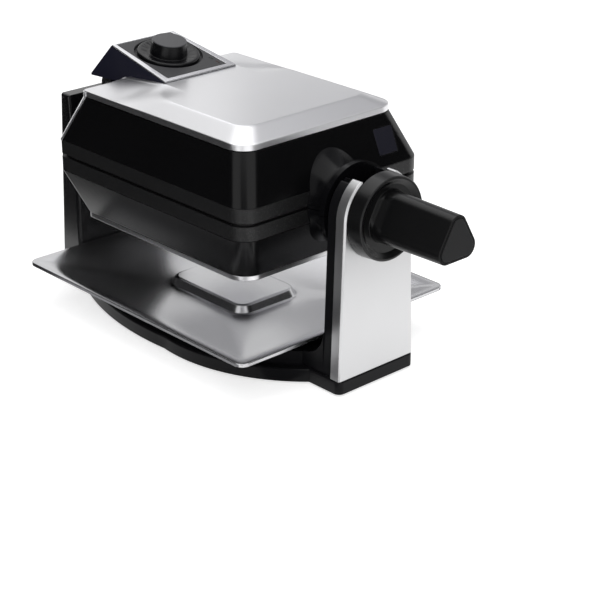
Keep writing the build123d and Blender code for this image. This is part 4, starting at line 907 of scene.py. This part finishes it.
class WAFFLE_OT_tray(bpy.types.Operator):
    """Press the drip tray from one smooth sheet"""

    bl_idname = "waffle.tray"
    bl_label = "Drip tray"

    def execute(self, context):
        sizes = settings()[1]
        low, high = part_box("drip_tray")
        half_x, half_y = high[0], (high[1] - low[1]) / 2
        z_floor = low[2] + sizes.tray_sheet
        rows = [
            *self.rim_rows(sizes, half_x, half_y, high[2]),
            *self.slope_rows(sizes, half_x, half_y, high[2], z_floor),
            *self.plateau_rows(sizes, z_floor),
        ]
        shape = bmesh.new()
        add_rows(shape, rows, end_face=True)
        piece = sheet_piece("drip_tray_finished", shape, sizes.tray_sheet)
        keep(piece, "drip_tray", "tray")
        return {"FINISHED"}

    def row(self, x, y, radius, z):
        """One level outline of the tray, by its half width, half length and corner radius."""
        low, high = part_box("drip_tray")
        y_mid = (low[1] + high[1]) / 2
        plan = rounded_ring(x, y_mid - y, y_mid + y, radius, radius)
        return [(px, py, z) for px, py in plan]

    def rim_rows(self, sizes, half_x, half_y, z_rim):
        """The turned edge and the flat rim."""
        edge = sizes.hem_edge
        return [
            self.row(half_x - inset, half_y - inset, sizes.tray_corner - inset, z)
            for inset, z in (
                (0.0, z_rim - sizes.tray_hem),
                (0.0, z_rim - sizes.tray_hem + 0.4 * edge),
                (0.0, z_rim - 1.4 * edge),
                (0.0, z_rim - edge),
                (0.3 * edge, z_rim - 0.3 * edge),
                (edge, z_rim),
                (sizes.tray_rim - edge, z_rim),
            )
        ]

    def slope_rows(self, sizes, half_x, half_y, z_rim, z_floor):
        """The scoop from the rim to the floor, which starts softly and levels out."""
        slope_x = half_x - sizes.tray_rim
        slope_y = half_y - sizes.tray_rim
        floor_x = sizes.plateau_width / 2 + sizes.tray_margin
        floor_y = sizes.plateau_length / 2 + sizes.tray_margin
        # The power levels the scoop out, and the start eases it away from the rim
        levelling, start, steps = 1.6, 0.08, 24
        # The scoop's corners grow to this share of the floor's half width
        corner_share = 0.45
        rows = []
        for step in range(steps + 1):
            share = step / steps
            fall = (1 - (1 - share) ** levelling) * (1 + start) * share / (share + start)
            corner = (sizes.tray_corner - sizes.tray_rim) * (1 - share)
            corner += floor_x * corner_share * share
            rows.append(self.row(slope_x + (floor_x - slope_x) * share,
                                 slope_y + (floor_y - slope_y) * share,
                                 corner, z_rim + (z_floor - z_rim) * fall))
        return rows

    def plateau_rows(self, sizes, z_floor):
        """The raised middle, from its foot up its steep side and over its flat top."""
        top_x, top_y = sizes.plateau_width / 2, sizes.plateau_length / 2
        top = z_floor + sizes.plateau_height
        # How far out from the top's outline, and how high
        profile = (
            # The rounded foot
            (7.0 * MM, z_floor), (5.4 * MM, z_floor + 0.25 * MM), (4.4 * MM, z_floor + 1.1 * MM),
            # The straight side
            (4.1 * MM, z_floor + 1.6 * MM), (1.3 * MM, top - 1.8 * MM),
            # The rounded upper edge
            (1.0 * MM, top - 1.3 * MM), (0.1 * MM, top - 0.35 * MM), (-1.2 * MM, top),
            # The flat top
            (-2.0 * MM, top), (-8 * MM, top), (-16 * MM, top), (-24 * MM, top),
        )
        tightest = 2 * MM
        return [
            self.row(top_x + outset, top_y + outset,
                     max(tightest, sizes.plateau_corner + outset), z)
            for outset, z in profile
        ]


class WAFFLE_OT_dial(bpy.types.Operator):
    """Finish the dial housing, its frame, its panel and its knob"""

    bl_idname = "waffle.dial"
    bl_label = "Dial"

    def execute(self, context):
        sizes = settings()[1]
        dress("control_housing", "housing", sizes.dial_edge)
        dress("dial_frame", "frame", sizes.dial_edge)
        dress("dial_panel", "panel", sizes.small_edge)
        dress("thermostat_knob", "knob", sizes.dial_edge)
        dress("knob_cap", "knob_cap", sizes.small_edge)
        paint("indicator_lamp_1", "lamp_red")
        paint("indicator_lamp_2", "lamp_green")
        paint("thermostat_body", "bush")
        return {"FINISHED"}


class WAFFLE_OT_hinge(bpy.types.Operator):
    """Finish the hinge, the shaft and its collar"""

    bl_idname = "waffle.hinge"
    bl_label = "Hinge and shaft"

    def execute(self, context):
        sizes = settings()[1]
        for node in ("hinge_bracket", "lid_hinge_leaf"):
            dress(node, "painted", sizes.small_edge)
        for node in ("rear_shaft", "shaft_collar", "hinge_pin"):
            dress(node, "steel", sizes.small_edge)
        return {"FINISHED"}


class WAFFLE_OT_plates(bpy.types.Operator):
    """Finish the cooking plates and what heats them"""

    bl_idname = "waffle.plates"
    bl_label = "Cooking plates"

    def execute(self, context):
        for half in ("upper", "lower"):
            paint(f"{half}_waffle_plate", "coating")
            paint(f"{half}_heating_element", "oxidised")
            paint(f"{half}_heat_shield", "steel")
        return {"FINISHED"}


OPERATORS = (
    WAFFLE_OT_stage,
    WAFFLE_OT_covers,
    WAFFLE_OT_shells,
    WAFFLE_OT_neck,
    WAFFLE_OT_column,
    WAFFLE_OT_base,
    WAFFLE_OT_tower,
    WAFFLE_OT_tray,
    WAFFLE_OT_dial,
    WAFFLE_OT_hinge,
    WAFFLE_OT_plates,
)


class WAFFLE_PT_panel(bpy.types.Panel):
    """Lists the settings and the steps that dress the waffle maker."""

    bl_label = "Waffle Maker"
    bl_idname = "WAFFLE_PT_panel"
    bl_space_type = "VIEW_3D"
    bl_region_type = "UI"
    bl_category = "Waffle Maker"

    def draw(self, context):
        for operator in OPERATORS:
            self.layout.operator(operator.bl_idname)
        for group in settings():
            for name in group.__annotations__:
                self.layout.prop(group, name)


GROUPS = (
    ("waffle_colours", WaffleColours),
    ("waffle_sizes", WaffleSizes),
    ("waffle_stage", WaffleStage),
)


def register():
    """Registers the classes and puts the settings on the scene."""
    for name, group in GROUPS:
        bpy.utils.register_class(group)
        setattr(bpy.types.Scene, name, bpy.props.PointerProperty(type=group))
    for item in (*OPERATORS, WAFFLE_PT_panel):
        bpy.utils.register_class(item)


def unregister():
    """Takes the settings and the classes away again."""
    for item in (WAFFLE_PT_panel, *reversed(OPERATORS)):
        bpy.utils.unregister_class(item)
    for name, group in reversed(GROUPS):
        delattr(bpy.types.Scene, name)
        bpy.utils.unregister_class(group)


def main():
    """Runs every step in order."""
    register()
    for operator in OPERATORS:
        group, name = operator.bl_idname.split(".")
        getattr(getattr(bpy.ops, group), name)()


if __name__ == "__main__":
    main()
